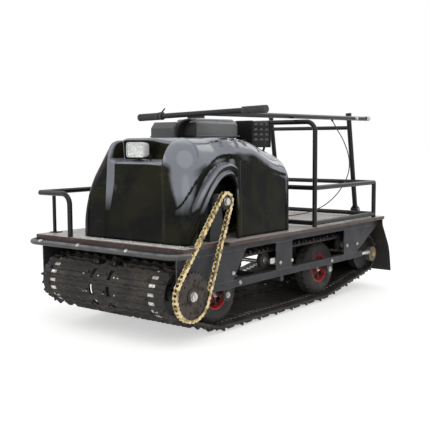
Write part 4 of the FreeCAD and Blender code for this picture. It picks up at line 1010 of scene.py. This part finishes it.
def settle(points, field):
    """Draws points onto the field's zero surface in three rounds."""
    for _ in range(3):
        value = field(*points.T)
        slope = np.stack([(field(*(points + step).T) - field(*(points - step).T))
                          for step in np.eye(3) * 0.5], axis=1)
        size = np.maximum((slope ** 2).sum(1), 0.2)
        points = points - np.clip(value / size, -2.5, 2.5)[:, None] * slope
    return points


def make_hood(hood):
    step = hood.cell / MM
    low = (-232.0, -778.0, 380.0)
    grid = [start + step * np.arange(int(size / step)) for start, size in zip(low, (670, 748, 428))]
    values = hood_shell_field(*np.meshgrid(*grid, indexing="ij", sparse=True), hood).astype(np.float32)
    points, faces = surface_net(values, low, step)
    points = settle(points, lambda x, y, z: hood_shell_field(x, y, z, hood))
    points[:, 2] = np.maximum(points[:, 2], DECK_TOP + 0.4)
    mesh = bpy.data.meshes.new("hood_moulding")
    mesh.from_pydata([tuple(point) for point in points * MM + np.array(ORIGIN)], [], faces.tolist())
    mesh.materials.append(FINISH["hood_shell"])
    mesh.shade_smooth()
    put("hood_moulding", mesh, "hood")
    piece("hood_arch_lips", "hood_shell", arch_lips(hood.flare / MM), sharp=50.0)


# pairs of a distance out from the arch and a height over the hood's side
LIP_PROFILE = ((-3, -12), (-3, 1), (-1, 7), (4, 11), (9, 11.5), (14, 8), (18, 2), (22, 1), (26, 4), (30, 9),
               (37, 12), (44, 11.5), (49, 7), (52, 0), (54, -8), (54, -12))


def arch_lips(high):
    """Two rounded lips with a groove between them, swept along the arch."""
    line = [(y, z) for y, z in ARCH if z > 388]
    fine = []
    for (ya, za), (yb, zb) in zip(line, line[1:]):
        parts = max(1, int(math.hypot(yb - ya, zb - za) / 6))
        fine += [(ya + (yb - ya) * k / parts, za + (zb - za) * k / parts) for k in range(parts)]
    fine = [(y, z) for y, z in fine + [line[-1]] if y > -670 or z > 488]
    rings = []
    for index, (y, z) in enumerate(fine):
        before = fine[max(index - 2, 0)]
        after = fine[min(index + 2, len(fine) - 1)]
        along = Vector((after[0] - before[0], after[1] - before[1])).normalized()
        outward = Vector((0, -along.y, along.x))
        narrow = 1 - 0.78 * float(ease(y, -474, -446))
        wide = narrow * (0.9 + 0.2 * float(ease(-y, 560, 680)))
        share = min(1.0, (index + 1) / 5) * (0.35 + 0.65 * narrow)
        rings.append([Vector((381 + (up * high / 12 if up > 0 else up) * share, y, z)) + outward * out * wide
                      for out, up in LIP_PROFILE])
    return skin(rings)


def make_headlight(lamp):
    place = (98.0, -735.0, 750.0)
    x, y, z = place
    wide, high = lamp.width / MM / 2, lamp.height / MM / 2
    shell = rounded_line([(-wide, -high), (wide, -high), (wide, high), (-wide, high)], 12)
    count = len(shell)
    steps = ((42, 0.80), (34, 0.90), (14, 0.97), (2, 1.0), (0, 0.985), (0.5, 0.93), (6, 0.90), (30, 0.52))
    points, faces = skin([[Vector((x + px * share, y + back, z + pz * share)) for px, pz in shell]
                          for back, share in steps])
    # the first five bands and their shut end are the housing, the last two and theirs the reflector
    inner, outer = 5 * count, 7 * count
    piece("headlight_housing", "lamp_plastic", (points, faces[:inner] + [faces[-2]]), stands_for="headlight")
    piece("headlight_reflector", "lamp_chrome", (points, faces[inner:outer] + [faces[-1]]))
    piece("headlight_lens", "lamp_glass",
          shifted(slab([(pz * 0.93, px * 0.93) for px, pz in shell], 1.0, 5.0, "y", 1.5), *place))
    piece("headlight_bulb", "lamp_chrome", lathe([(8, 5.5), (10, 6.5), (24, 6.5), (26, 5)], "y", 20, place),
          block(x - 30, x + 30, y + 14, y + 17, z - 2, z + 2, 0.8))
    piece("headlight_stand", "tube_paint", block(x - 22, x + 22, y + 12, y + 30, 704.4, 708, 1.2),
          block(x - 3, x + 3, y + 14, y + 28, 706, 724, 1.2),
          *(hex_bolt((x + side, y + 21, 708), (0, 0, 1), 4.5, 3, 6.5) for side in (-14, 14)),
          stands_for="headlight_bracket")
    wire = ((20, 40, -8), (24, 52, -18), (26, 58, -34), (27, 66, -46), (28, 72, -50))
    piece("headlight_wire", "cable_sheath", shifted(tube(wire, 2.4, 8), *place))


# --- engine ---

def louvres(low_y, high_y, low_z, high_z, x, columns, rows):
    """Raised louvres on a side wall facing +X."""
    wide = (high_y - low_y) / columns
    tall = (high_z - low_z) / rows
    found = []
    for column in range(columns):
        for level in range(rows):
            y = low_y + wide * (column + 0.5) + 3.0
            z = low_z + tall * (level + 0.5)
            arch = [(y + wide * 0.36 * math.cos(a), z + tall * 0.42 * math.sin(a))
                    for a in (math.pi * k / 6 for k in range(7))]
            found.append(slab(arch, x - 2.0, x + 4.5, "x", 1.6))
    return found


def make_engine():
    x0, x1, y0, y1 = -60.0, 250.0, -490.0, -170.0
    shaft = (-330, 505)
    crank = block(x0 + 40, x1 - 30, y0 + 60, y1 - 20, 387, 585, 14, 3)
    head = block(x0, x0 + 70, y0 + 50, y1 - 40, 600, 740, 10, 2)
    fins = [block(x0 + 20, x1 - 34, y0 + 34, y1 - 26, 588 + 11 * k, 592 + 11 * k, 1.2) for k in range(14)]
    feet = [block(x, x + 34, y0 + 50, y1 - 10, 386.4, 396, 3) for x in (x0 + 44, x1 - 74)]
    piece("engine_casting", "cast_grey", crank, head, *fins, *feet, stands_for="engine_block")
    shroud = block(x0 + 6, x1 - 20, y0 + 26, y1 - 6, 600, 786, 22, 4)
    cover = lathe([(0, 96), (12, 100), (30, 96), (38, 84), (40, 40)], "x", 48, (x1 - 42, *shaft))
    ribs = [rod((x1 - 4, *polar(44, a, *shaft)), (x1 - 4, *polar(84, a, *shaft)), 3, 8)
            for a in (FULL_TURN * k / 16 for k in range(16))]
    piece("engine_shroud", "engine_black", shroud, cover, *ribs)

    piece("fuel_tank_pressing", "tank_paint", block(20, 210, -428, -200, 792, 866, 17, 5),
          block(16, 214, -432, -196, 800, 806, 2.4, 2), block(34, 196, -414, -214, 850, 876, 9, 4),
          stands_for="fuel_tank")
    piece("tank_front_panel", "black_plastic", block(26, 158, -433.5, -425, 800, 862, 5, 3))
    neck = (105, -367, 0)
    piece("tank_neck", "trim_metal", lathe([(872, 38), (878, 41), (880, 39.5), (880, 36)], "z", 40, neck))
    cap = lathe([(877, 34), (880.5, 37.5), (890, 37.5), (893.5, 34), (894.5, 24), (894.5, 8)], "z", 72)
    for point in cap[0][1::2]:
        if 879 < point.z < 892:
            point.xy = point.xy * 0.965
    piece("fuel_cap_ribbed", "cap_plastic", shifted(cap, *neck), stands_for="fuel_cap", sharp=30.0)

    piece("air_cleaner_cover", "cleaner_plastic",
          slab([(-486, 794), (-486, 838), (-464, 864), (-436, 864), (-434, 794)], -54, 78, "x", 5.0),
          slab([(-488, 800), (-488, 805), (-434, 805), (-434, 800)], -56, 80, "x", 1.5),
          stands_for="air_cleaner")
    path = [(790, 74), (815, 75), (842, 82), (862, 98), (874, 124), (878, 158)]
    strap = path + [(z - 6, x + 8) for z, x in reversed(path)]
    piece("air_cleaner_strap", "black_plastic", slab(strap, -470, -428, "y", 1.2))

    piece("muffler_guard_pressed", "guard_black", block(160, 249, -156, -13, 755, 869, 9, 3),
          block(158, 252, -158, -150, 752, 872, 3), block(158, 251.5, -22, -12, 752, 872, 3),
          stands_for="muffler_guard")
    # the louvres are pale to paint the highlights on their lips
    piece("muffler_louvres", "louvre_worn", *louvres(-150, -26, 772, 862, 246, 3, 4))
    arm = [(205, -14, 862), (206, -6, 850), (206, 2, 815), (205, 4, 775), (202, 0, 745), (198, -8, 725)]
    piece("muffler_bracket", "engine_black", tube(arm, 5.5, 10))


# --- bolts on the deck and plates, idler parts and guide rollers ---

UP = (0, 0, 1)
SIDES = (1, -1)


def make_fasteners():
    """Bolts and screws on the plates, rails, bumper, deck and mast feet."""
    side = []
    for sign in SIDES:
        for y, z in ((-475, 250), (-138, 250), (-47, 250), (447, 262), (548, 262), (-430, 205), (300, 205)):
            side.append(hex_bolt((sign * 388.2, y, z), (sign, 0, 0), 7.5, 4.5, 8.5))
        for y in (FRONT_AXLE, REAR_AXLE):
            side.append(hex_bolt((sign * 371, y, ROAD_HEIGHT), (sign, 0, 0), 9, 6, 13))
    side += [dome_bolt((x, -873.5, 368.5), (0, -0.5, 0.87), 9.5, 6.0) for x in (-331, -94, 180)]
    piece("side_bolts", "bare_steel", *side)
    rim = ((-395, -800), (395, -800), (395, -400), (395, -60), (395, 240), (395, 560), (-395, 560),
           (-395, -60), (-395, -400), (-395, 240), (300, 740), (-300, 740), (0, 740), (-300, -800))
    piece("deck_screws", "bare_steel", *(dome_bolt((x, y, DECK_TOP), UP, 6.0, 2.0) for x, y in rim),
          *(dome_bolt((x, -787, DECK_TOP + 4), UP, 5.5, 3.0) for x in (-190, -40, 120, 280, 380)))
    mast_y = 746
    feet = []
    for x in (268, -222):
        feet += [hex_bolt((x + dx, mast_y + dy, DECK_TOP + 0.5), UP, 5.5, 4, 7)
                 for dx in (-24, 24) for dy in (-11, 11)]
        feet += [hex_bolt((x + sign * 18.5, mast_y, 414), (sign, 0, 0), 8, 5, 9) for sign in SIDES]
    piece("mast_foot_bolts", "bare_steel", *feet)


def make_idler_parts():
    """Idler hubs with their adjusting rods and nuts."""
    hubs = []
    rods = []
    bolts = []
    low, high, turns = 607.0, 702.0, 30
    pitch = (high - low) / turns
    thread = [(pitch * (k + half), radius) for k in range(turns) for half, radius in ((0, 6.2), (0.5, 7.2))]
    for sign in SIDES:
        x = sign * 384
        profile = [(-26, 30), (-24, 37.5), (-2, 38), (0, 36), (0, 20), (2.5, 19), (2.5, 8)]
        hubs.append(lathe([(sign * along, radius) for along, radius in profile], "x", 40, (x, *IDLER)))
        for k in range(6):
            spot = polar(28, FULL_TURN * k / 6 + 0.3, *IDLER)
            hubs.append(rod((x - sign * 3, *spot), (x + sign * 2, *spot), 3.6))
        bolts.append(hex_bolt((x + sign * 2, *IDLER), (sign, 0, 0), 8.5, 6, 11))
        rods.append(lathe(thread, "y", 14, (sign * 373, low, 200)))
        rods += [lathe([(0, 12.0), (9, 12.0)], "y", 6, (sign * 373, y, 200)) for y in (612, 668, 684)]
    piece("idler_hubs", "hub_steel", *hubs, stands_for="idler_tensioners")
    piece("idler_adjusters", "trim_metal", *rods)
    piece("idler_bolts", "brass", *bolts)


def make_carriers():
    """Small guide rollers with their rubber rims and silver caps."""
    rims = []
    caps = []
    arms = []
    inner, outer = 320, 346
    profile = [(0, 22), (1, 31), (4, 34), (22, 34), (25, 31), (26, 22)]
    for y in CARRIERS:
        for sign in SIDES:
            face = (sign * outer, y, CARRIER_HEIGHT)
            rims.append(lathe(profile, "x", 48, (inner if sign > 0 else -outer, y, CARRIER_HEIGHT)))
            caps += [hex_bolt(face, (sign, 0, 0), 8, 6, 17),
                     rod(face, (sign * 380, y, CARRIER_HEIGHT), 7.5)]
            if y < 0:
                arms.append(block(*sorted((sign * 377, sign * 383)), y - 12, y + 80, 251, 276, 3, 2))
    piece("guide_roller_rims", "tyre_rubber", *rims, stands_for="carrier_rollers", slot="black_plastic",
          sharp=45.0)
    piece("guide_roller_caps", "bare_steel", *caps)
    piece("guide_roller_arms", "trim_metal", *arms, slot="frame_paint")


# --- steering pole ---

POLE_HEAD = Vector((296.5, -529, 894))
BAR_TILT = Matrix.Translation(POLE_HEAD) @ Matrix.Rotation(math.radians(-1.55), 4, "Y") \
    @ Matrix.Translation(-POLE_HEAD)


def make_grips():
    """Ribbed grips with a flange and a hole in the end."""
    length = 115.0
    rib = ((0, 15.2), (1.2, 15.4), (2.6, 15.4), (3.2, 13.6), (4.8, 13.6))
    profile = [(0, 6), (0, 13), (1.5, 15)]
    profile += [(4 + 5.2 * k + along, radius) for k in range(19) for along, radius in rib]
    profile += [(106, 15.4), (110, 15.5), (112, 15.5), (113, 12), (114.5, 11)]
    turned = [(length - along, radius) for along, radius in reversed(profile)]
    grips = [lathe(shape, "x", 40, (x, *POLE_HEAD.yz)) for x, shape in ((-75, profile), (478, turned))]
    piece("grips_ribbed", "grip_rubber", moved(joined(*grips), BAR_TILT), body="pole",
          stands_for="handlebar_grips", sharp=32.0)


def make_pole_fittings():
    """The bright channel on the pole's tail with its bolts, and the throttle lever."""
    x, y, z = POLE_HEAD
    piece("pole_tail_channel", "trim_metal", block(x - 13, x + 13, 790, 822, 903.5, 906.5, 0.8),
          block(x - 13.5, x - 11, 790, 822, 886, 906, 0.8), block(x + 11, x + 13.5, 790, 822, 886, 906, 0.8),
          *(hex_bolt((x + 13.5, along, z), (1, 0, 0), 5.5, 4, 7) for along in (800, 814)), body="pole")
    lever = joined(lathe([(0, 13), (1.5, 16), (12.5, 16), (14, 13)], "x", 32, (48, y, z)),
                   rod((50, y, z + 11), (66, y + 9, z + 32), 3.2, 10),
                   block(46, 62, y - 11, y + 11, z + 9, z + 17, 3, 2))
    piece("throttle_lever_moulding", "cap_plastic", moved(lever, BAR_TILT), body="pole",
          stands_for="throttle_lever")


# --- control cable ---

CABLE_ROUTE = (
    (296.5, 455, 877), (300, 492, 837), (305, 533, 798), (309, 566, 753), (309, 597, 705), (303, 619, 652),
    (288, 627, 598), (268, 615, 547), (243, 593, 501), (212, 573, 464), (171, 559, 434), (125, 544, 412),
    (79, 520, 397), (38, 485, 390.3), (12, 438, 388.8), (-4, 386, 388.8), (-12, 331, 388.8),
    (-14, 276, 388.8), (-11, 221, 388.8), (-4, 167, 388.8), (4, 113, 388.8), (10, 60, 388.8),
    (13, 12, 389.8), (13, -17, 400), (13, -45, 400))


def make_cable(cable):
    data = bpy.data.curves.new("control_cable_run", "CURVE")
    data.dimensions = "3D"
    spline = data.splines.new("NURBS")
    spline.points.add(len(CABLE_ROUTE) - 1)
    for point, place in zip(spline.points, CABLE_ROUTE):
        point.co = (*(Vector(place) * MM + ORIGIN), 1.0)
    spline.order_u = 3
    spline.use_endpoint_u = True
    data.bevel_depth = cable.diameter / 2
    data.bevel_resolution = 4
    data.resolution_u = 12
    data.use_fill_caps = True
    data.materials.append(FINISH["cable_sheath"])
    run = put("control_cable_run", data, "control_cable")


# --- studio ---

WHITE = (1, 1, 1, 1)


def clear_tree(owner):
    owner.use_nodes = True
    owner.node_tree.nodes.clear()
    return Nodes(owner.node_tree)


def by_view(look, output, elsewhere, seen):
    """One shader for light that falls on things, and another for the camera, mirrors and glass."""
    path = look.add("LightPath").outputs
    both = look.math("MAXIMUM", path["Is Camera Ray"], path["Is Glossy Ray"])
    share = look.math("MAXIMUM", both, path["Is Transmission Ray"])
    mixed = look.add("MixShader", {0: share, 1: elsewhere.outputs[0], 2: seen.outputs[0]})
    look.add(output, {"Surface": mixed.outputs[0]})


def make_studio(studio):
    scene = bpy.context.scene
    scene.view_settings.view_transform = "Standard"
    scene.world = bpy.data.worlds.new("studio_sky")
    sky = clear_tree(scene.world)
    lit = sky.add("Background", {"Color": WHITE, "Strength": studio.sky})
    by_view(sky, "OutputWorld", lit, sky.add("Background", {"Color": WHITE, "Strength": 1.0}))

    size = 30.0
    mesh = bpy.data.meshes.new("studio_floor")
    mesh.from_pydata([(x * size, y * size, -0.0005) for x, y in ((-1, -1), (1, -1), (1, 1), (-1, 1))], [],
                     [(0, 1, 2, 3)])
    item = bpy.data.materials.new("studio_floor")
    ground = clear_tree(item)
    dull = ground.add("BsdfDiffuse", {"Color": (0.80, 0.80, 0.79, 1)})
    glow = ground.add("Emission", {"Color": WHITE, "Strength": studio.floor_glow})
    both = ground.add("AddShader", {0: dull.outputs[0], 1: glow.outputs[0]})
    by_view(ground, "OutputMaterial", dull, both)
    mesh.materials.append(item)
    link("studio_floor", mesh)

    for name, place, size, power in (("key_light", (2.6, -2.4, 3.4), 5.0, studio.key),
                                     ("fill_light", (-3.2, -2.6, 2.0), 2.4, studio.fill),
                                     ("back_light", (0.5, 3.4, 2.8), 2.4, studio.fill)):
        data = bpy.data.lights.new(name, "AREA")
        data.shape = "DISK"
        data.size = size
        data.energy = power
        light = link(name, data)
        light.location = place
        light.rotation_mode = "QUATERNION"
        light.rotation_quaternion = (Vector((0, -0.1, 0.4)) - Vector(place)).to_track_quat("-Z", "Y")

    data = bpy.data.cameras.new("view_camera")
    data.lens = 65.386
    data.sensor_width = 36.0
    camera = link("view_camera", data)
    right = Vector((0.77730162, 0.62909697, -0.00626066))
    up = Vector((-0.054811, 0.07763032, 0.9954744))
    ahead = Vector((-0.62673595, 0.77344071, -0.09482361))
    turn = Matrix((right, up, -ahead)).transposed().to_4x4()
    camera.matrix_world = Matrix.Translation(Vector((2.29935, -2.94908, 0.78427)) + ORIGIN) @ turn
    scene.camera = camera


# --- sizes and colours that a user may change ---

def length(name, description, default):
    return bpy.props.FloatProperty(name=name, description=description, default=default, min=0.0005,
                                   unit="LENGTH")


def strength(name, description, default):
    return bpy.props.FloatProperty(name=name, description=description, default=default, min=0.0)


def paint(name, description, default):
    return bpy.props.FloatVectorProperty(name=name, description=description, default=default, size=3,
                                         min=0.0, max=1.0, subtype="COLOR")


class SnowTugPaints(bpy.types.PropertyGroup):
    """Colours of the painted and moulded pieces"""
    hood: paint("Hood", "Colour of the moulded hood", (0.006, 0.007, 0.006))
    frame: paint("Frame", "Colour of the side plates and rails", (0.028, 0.029, 0.033))
    rims: paint("Rims", "Colour of the spoked rims", (0.60, 0.025, 0.018))
    tank: paint("Tank", "Colour of the fuel tank", (0.15, 0.155, 0.16))
    chain: paint("Chain", "Colour of the chain's plating", (0.76, 0.63, 0.36))
    board_edge: paint("Board edge", "Colour of the deck board's edge", (0.080, 0.034, 0.027))
    # the board face's pale grey is the film's own colour together with a painted sky reflection
    board_face: paint("Board face", "Colour of the deck board's film", (0.50, 0.475, 0.45))


class SnowTugTrack(bpy.types.PropertyGroup):
    """Sizes of the rubber track"""
    width: length("Width", "Width of the belt", 0.700)
    thickness: length("Thickness", "Thickness of the belt", 0.010)
    lug_height: length("Lug height", "How far the lugs stand up from the belt", 0.020)
    pitch: length("Lug pitch", "Distance from lug to lug", 0.064)


class SnowTugWheels(bpy.types.PropertyGroup):
    """Sizes of the road wheels"""
    tyre_radius: length("Tyre radius", "Outer radius of a road tyre", 0.130)
    tyre_width: length("Tyre width", "Width of a road tyre", 0.080)
    rim_radius: length("Rim radius", "Radius of a rim", 0.070)


class SnowTugHood(bpy.types.PropertyGroup):
    """Sizes of the moulded hood"""
    top: length("Top", "Height of the hood's crown above the floor", 0.797)
    wall: length("Wall", "Thickness of the moulded shell", 0.010)
    flare: length("Flare", "How far the lips round the chain's arch stand out", 0.012)
    cell: length("Cell", "Fineness of the moulded surface", 0.005)


class SnowTugLamp(bpy.types.PropertyGroup):
    """Sizes of the headlight"""
    width: length("Width", "Width of the headlight", 0.098)
    height: length("Height", "Height of the headlight", 0.060)


class SnowTugCable(bpy.types.PropertyGroup):
    """Sizes of the control cable"""
    length: length("Length", "Real length of the cable that shows", 1.257)
    diameter: length("Diameter", "Diameter of the cable's sheath", 0.005)


class SnowTugStudio(bpy.types.PropertyGroup):
    """Light in the studio"""
    sky: strength("Sky", "Strength of the even light", 0.62)
    key: strength("Key", "Power of the large lamp", 55.0)
    fill: strength("Fill", "Power of the side lamps", 16.0)
    floor_glow: strength("Floor glow", "What whitens the floor in view", 0.52)


# --- operators ---

class SNOWTUG_OT_finishes(bpy.types.Operator):
    """Makes the finishes and puts them on the frame's own nodes"""
    bl_idname = "snowtug.finishes"
    bl_label = "Finishes"

    def execute(self, context):
        make_finishes(context.scene.snow_tug_paints)
        dress_cad()
        return {"FINISHED"}


class SNOWTUG_OT_cable(bpy.types.Operator):
    """Lays the control cable from the pole to the hood"""
    bl_idname = "snowtug.cable"
    bl_label = "Control cable"

    def execute(self, context):
        make_cable(context.scene.snow_tug_cable)
        return {"FINISHED"}


class SNOWTUG_OT_hood(bpy.types.Operator):
    """Moulds the hood with its pillars, lamp recess and chain arch"""
    bl_idname = "snowtug.hood"
    bl_label = "Hood"

    def execute(self, context):
        make_hood(context.scene.snow_tug_hood)
        return {"FINISHED"}


class SNOWTUG_OT_headlight(bpy.types.Operator):
    """Makes the headlight with its lens, reflector and stand"""
    bl_idname = "snowtug.headlight"
    bl_label = "Headlight"

    def execute(self, context):
        make_headlight(context.scene.snow_tug_lamp)
        return {"FINISHED"}


class SNOWTUG_OT_engine(bpy.types.Operator):
    """Makes the engine with its tank, air cleaner and muffler guard"""
    bl_idname = "snowtug.engine"
    bl_label = "Engine"

    def execute(self, context):
        make_engine()
        return {"FINISHED"}


class SNOWTUG_OT_track(bpy.types.Operator):
    """Makes the lugged rubber track with its clips and studs"""
    bl_idname = "snowtug.track"
    bl_label = "Track"

    def execute(self, context):
        make_track(context.scene.snow_tug_track)
        return {"FINISHED"}


class SNOWTUG_OT_wheels(bpy.types.Operator):
    """Makes the treaded tyres, spoked rims, guide rollers and idler parts"""
    bl_idname = "snowtug.wheels"
    bl_label = "Wheels"

    def execute(self, context):
        make_wheels(context.scene.snow_tug_wheels)
        make_carriers()
        make_idler_parts()
        return {"FINISHED"}


class SNOWTUG_OT_chain_drive(bpy.types.Operator):
    """Makes the roller chain link by link, and its sprockets"""
    bl_idname = "snowtug.chain_drive"
    bl_label = "Chain drive"

    def execute(self, context):
        make_chain()
        make_sprockets()
        return {"FINISHED"}


class SNOWTUG_OT_fittings(bpy.types.Operator):
    """Makes the grips, the lever, the pole's fittings and the bolts on the plates, bumper, deck and mast feet
    """
    bl_idname = "snowtug.fittings"
    bl_label = "Fittings"

    def execute(self, context):
        make_grips()
        make_pole_fittings()
        make_fasteners()
        return {"FINISHED"}


class SNOWTUG_OT_studio(bpy.types.Operator):
    """Sets up the floor, the light and the camera"""
    bl_idname = "snowtug.studio"
    bl_label = "Studio"

    def execute(self, context):
        make_studio(context.scene.snow_tug_studio)
        return {"FINISHED"}


class SNOWTUG_PT_pieces(bpy.types.Panel):
    """Lists the machine's pieces with their sizes and colours"""
    bl_idname = "SNOWTUG_PT_pieces"
    bl_label = "Snow tug"
    bl_space_type = "VIEW_3D"
    bl_region_type = "UI"
    bl_category = "Snow tug"

    def draw(self, context):
        for group_name, group in GROUPS:
            box = self.layout.box()
            settings = getattr(context.scene, group_name)
            for key in group.__annotations__:
                box.prop(settings, key)
        for operator in OPERATORS:
            self.layout.operator(operator.bl_idname)


GROUPS = (
    ("snow_tug_paints", SnowTugPaints), ("snow_tug_track", SnowTugTrack), ("snow_tug_wheels", SnowTugWheels),
    ("snow_tug_hood", SnowTugHood), ("snow_tug_lamp", SnowTugLamp), ("snow_tug_cable", SnowTugCable),
    ("snow_tug_studio", SnowTugStudio))
OPERATORS = (
    SNOWTUG_OT_finishes, SNOWTUG_OT_studio, SNOWTUG_OT_cable, SNOWTUG_OT_hood, SNOWTUG_OT_headlight,
    SNOWTUG_OT_engine, SNOWTUG_OT_track, SNOWTUG_OT_wheels, SNOWTUG_OT_chain_drive, SNOWTUG_OT_fittings)


def register():
    for name, group in GROUPS:
        bpy.utils.register_class(group)
        setattr(bpy.types.Scene, name, bpy.props.PointerProperty(type=group))
    for item in (*OPERATORS, SNOWTUG_PT_pieces):
        bpy.utils.register_class(item)


def unregister():
    for item in reversed((*OPERATORS, SNOWTUG_PT_pieces)):
        bpy.utils.unregister_class(item)
    for name, group in reversed(GROUPS):
        delattr(bpy.types.Scene, name)
        bpy.utils.unregister_class(group)


def main():
    register()
    bpy.ops.snowtug.finishes()
    bpy.ops.snowtug.studio()
    bpy.ops.snowtug.cable()
    bpy.ops.snowtug.hood()
    bpy.ops.snowtug.headlight()
    bpy.ops.snowtug.engine()
    bpy.ops.snowtug.track()
    bpy.ops.snowtug.wheels()
    bpy.ops.snowtug.chain_drive()
    bpy.ops.snowtug.fittings()


if __name__ == "__main__":
    main()
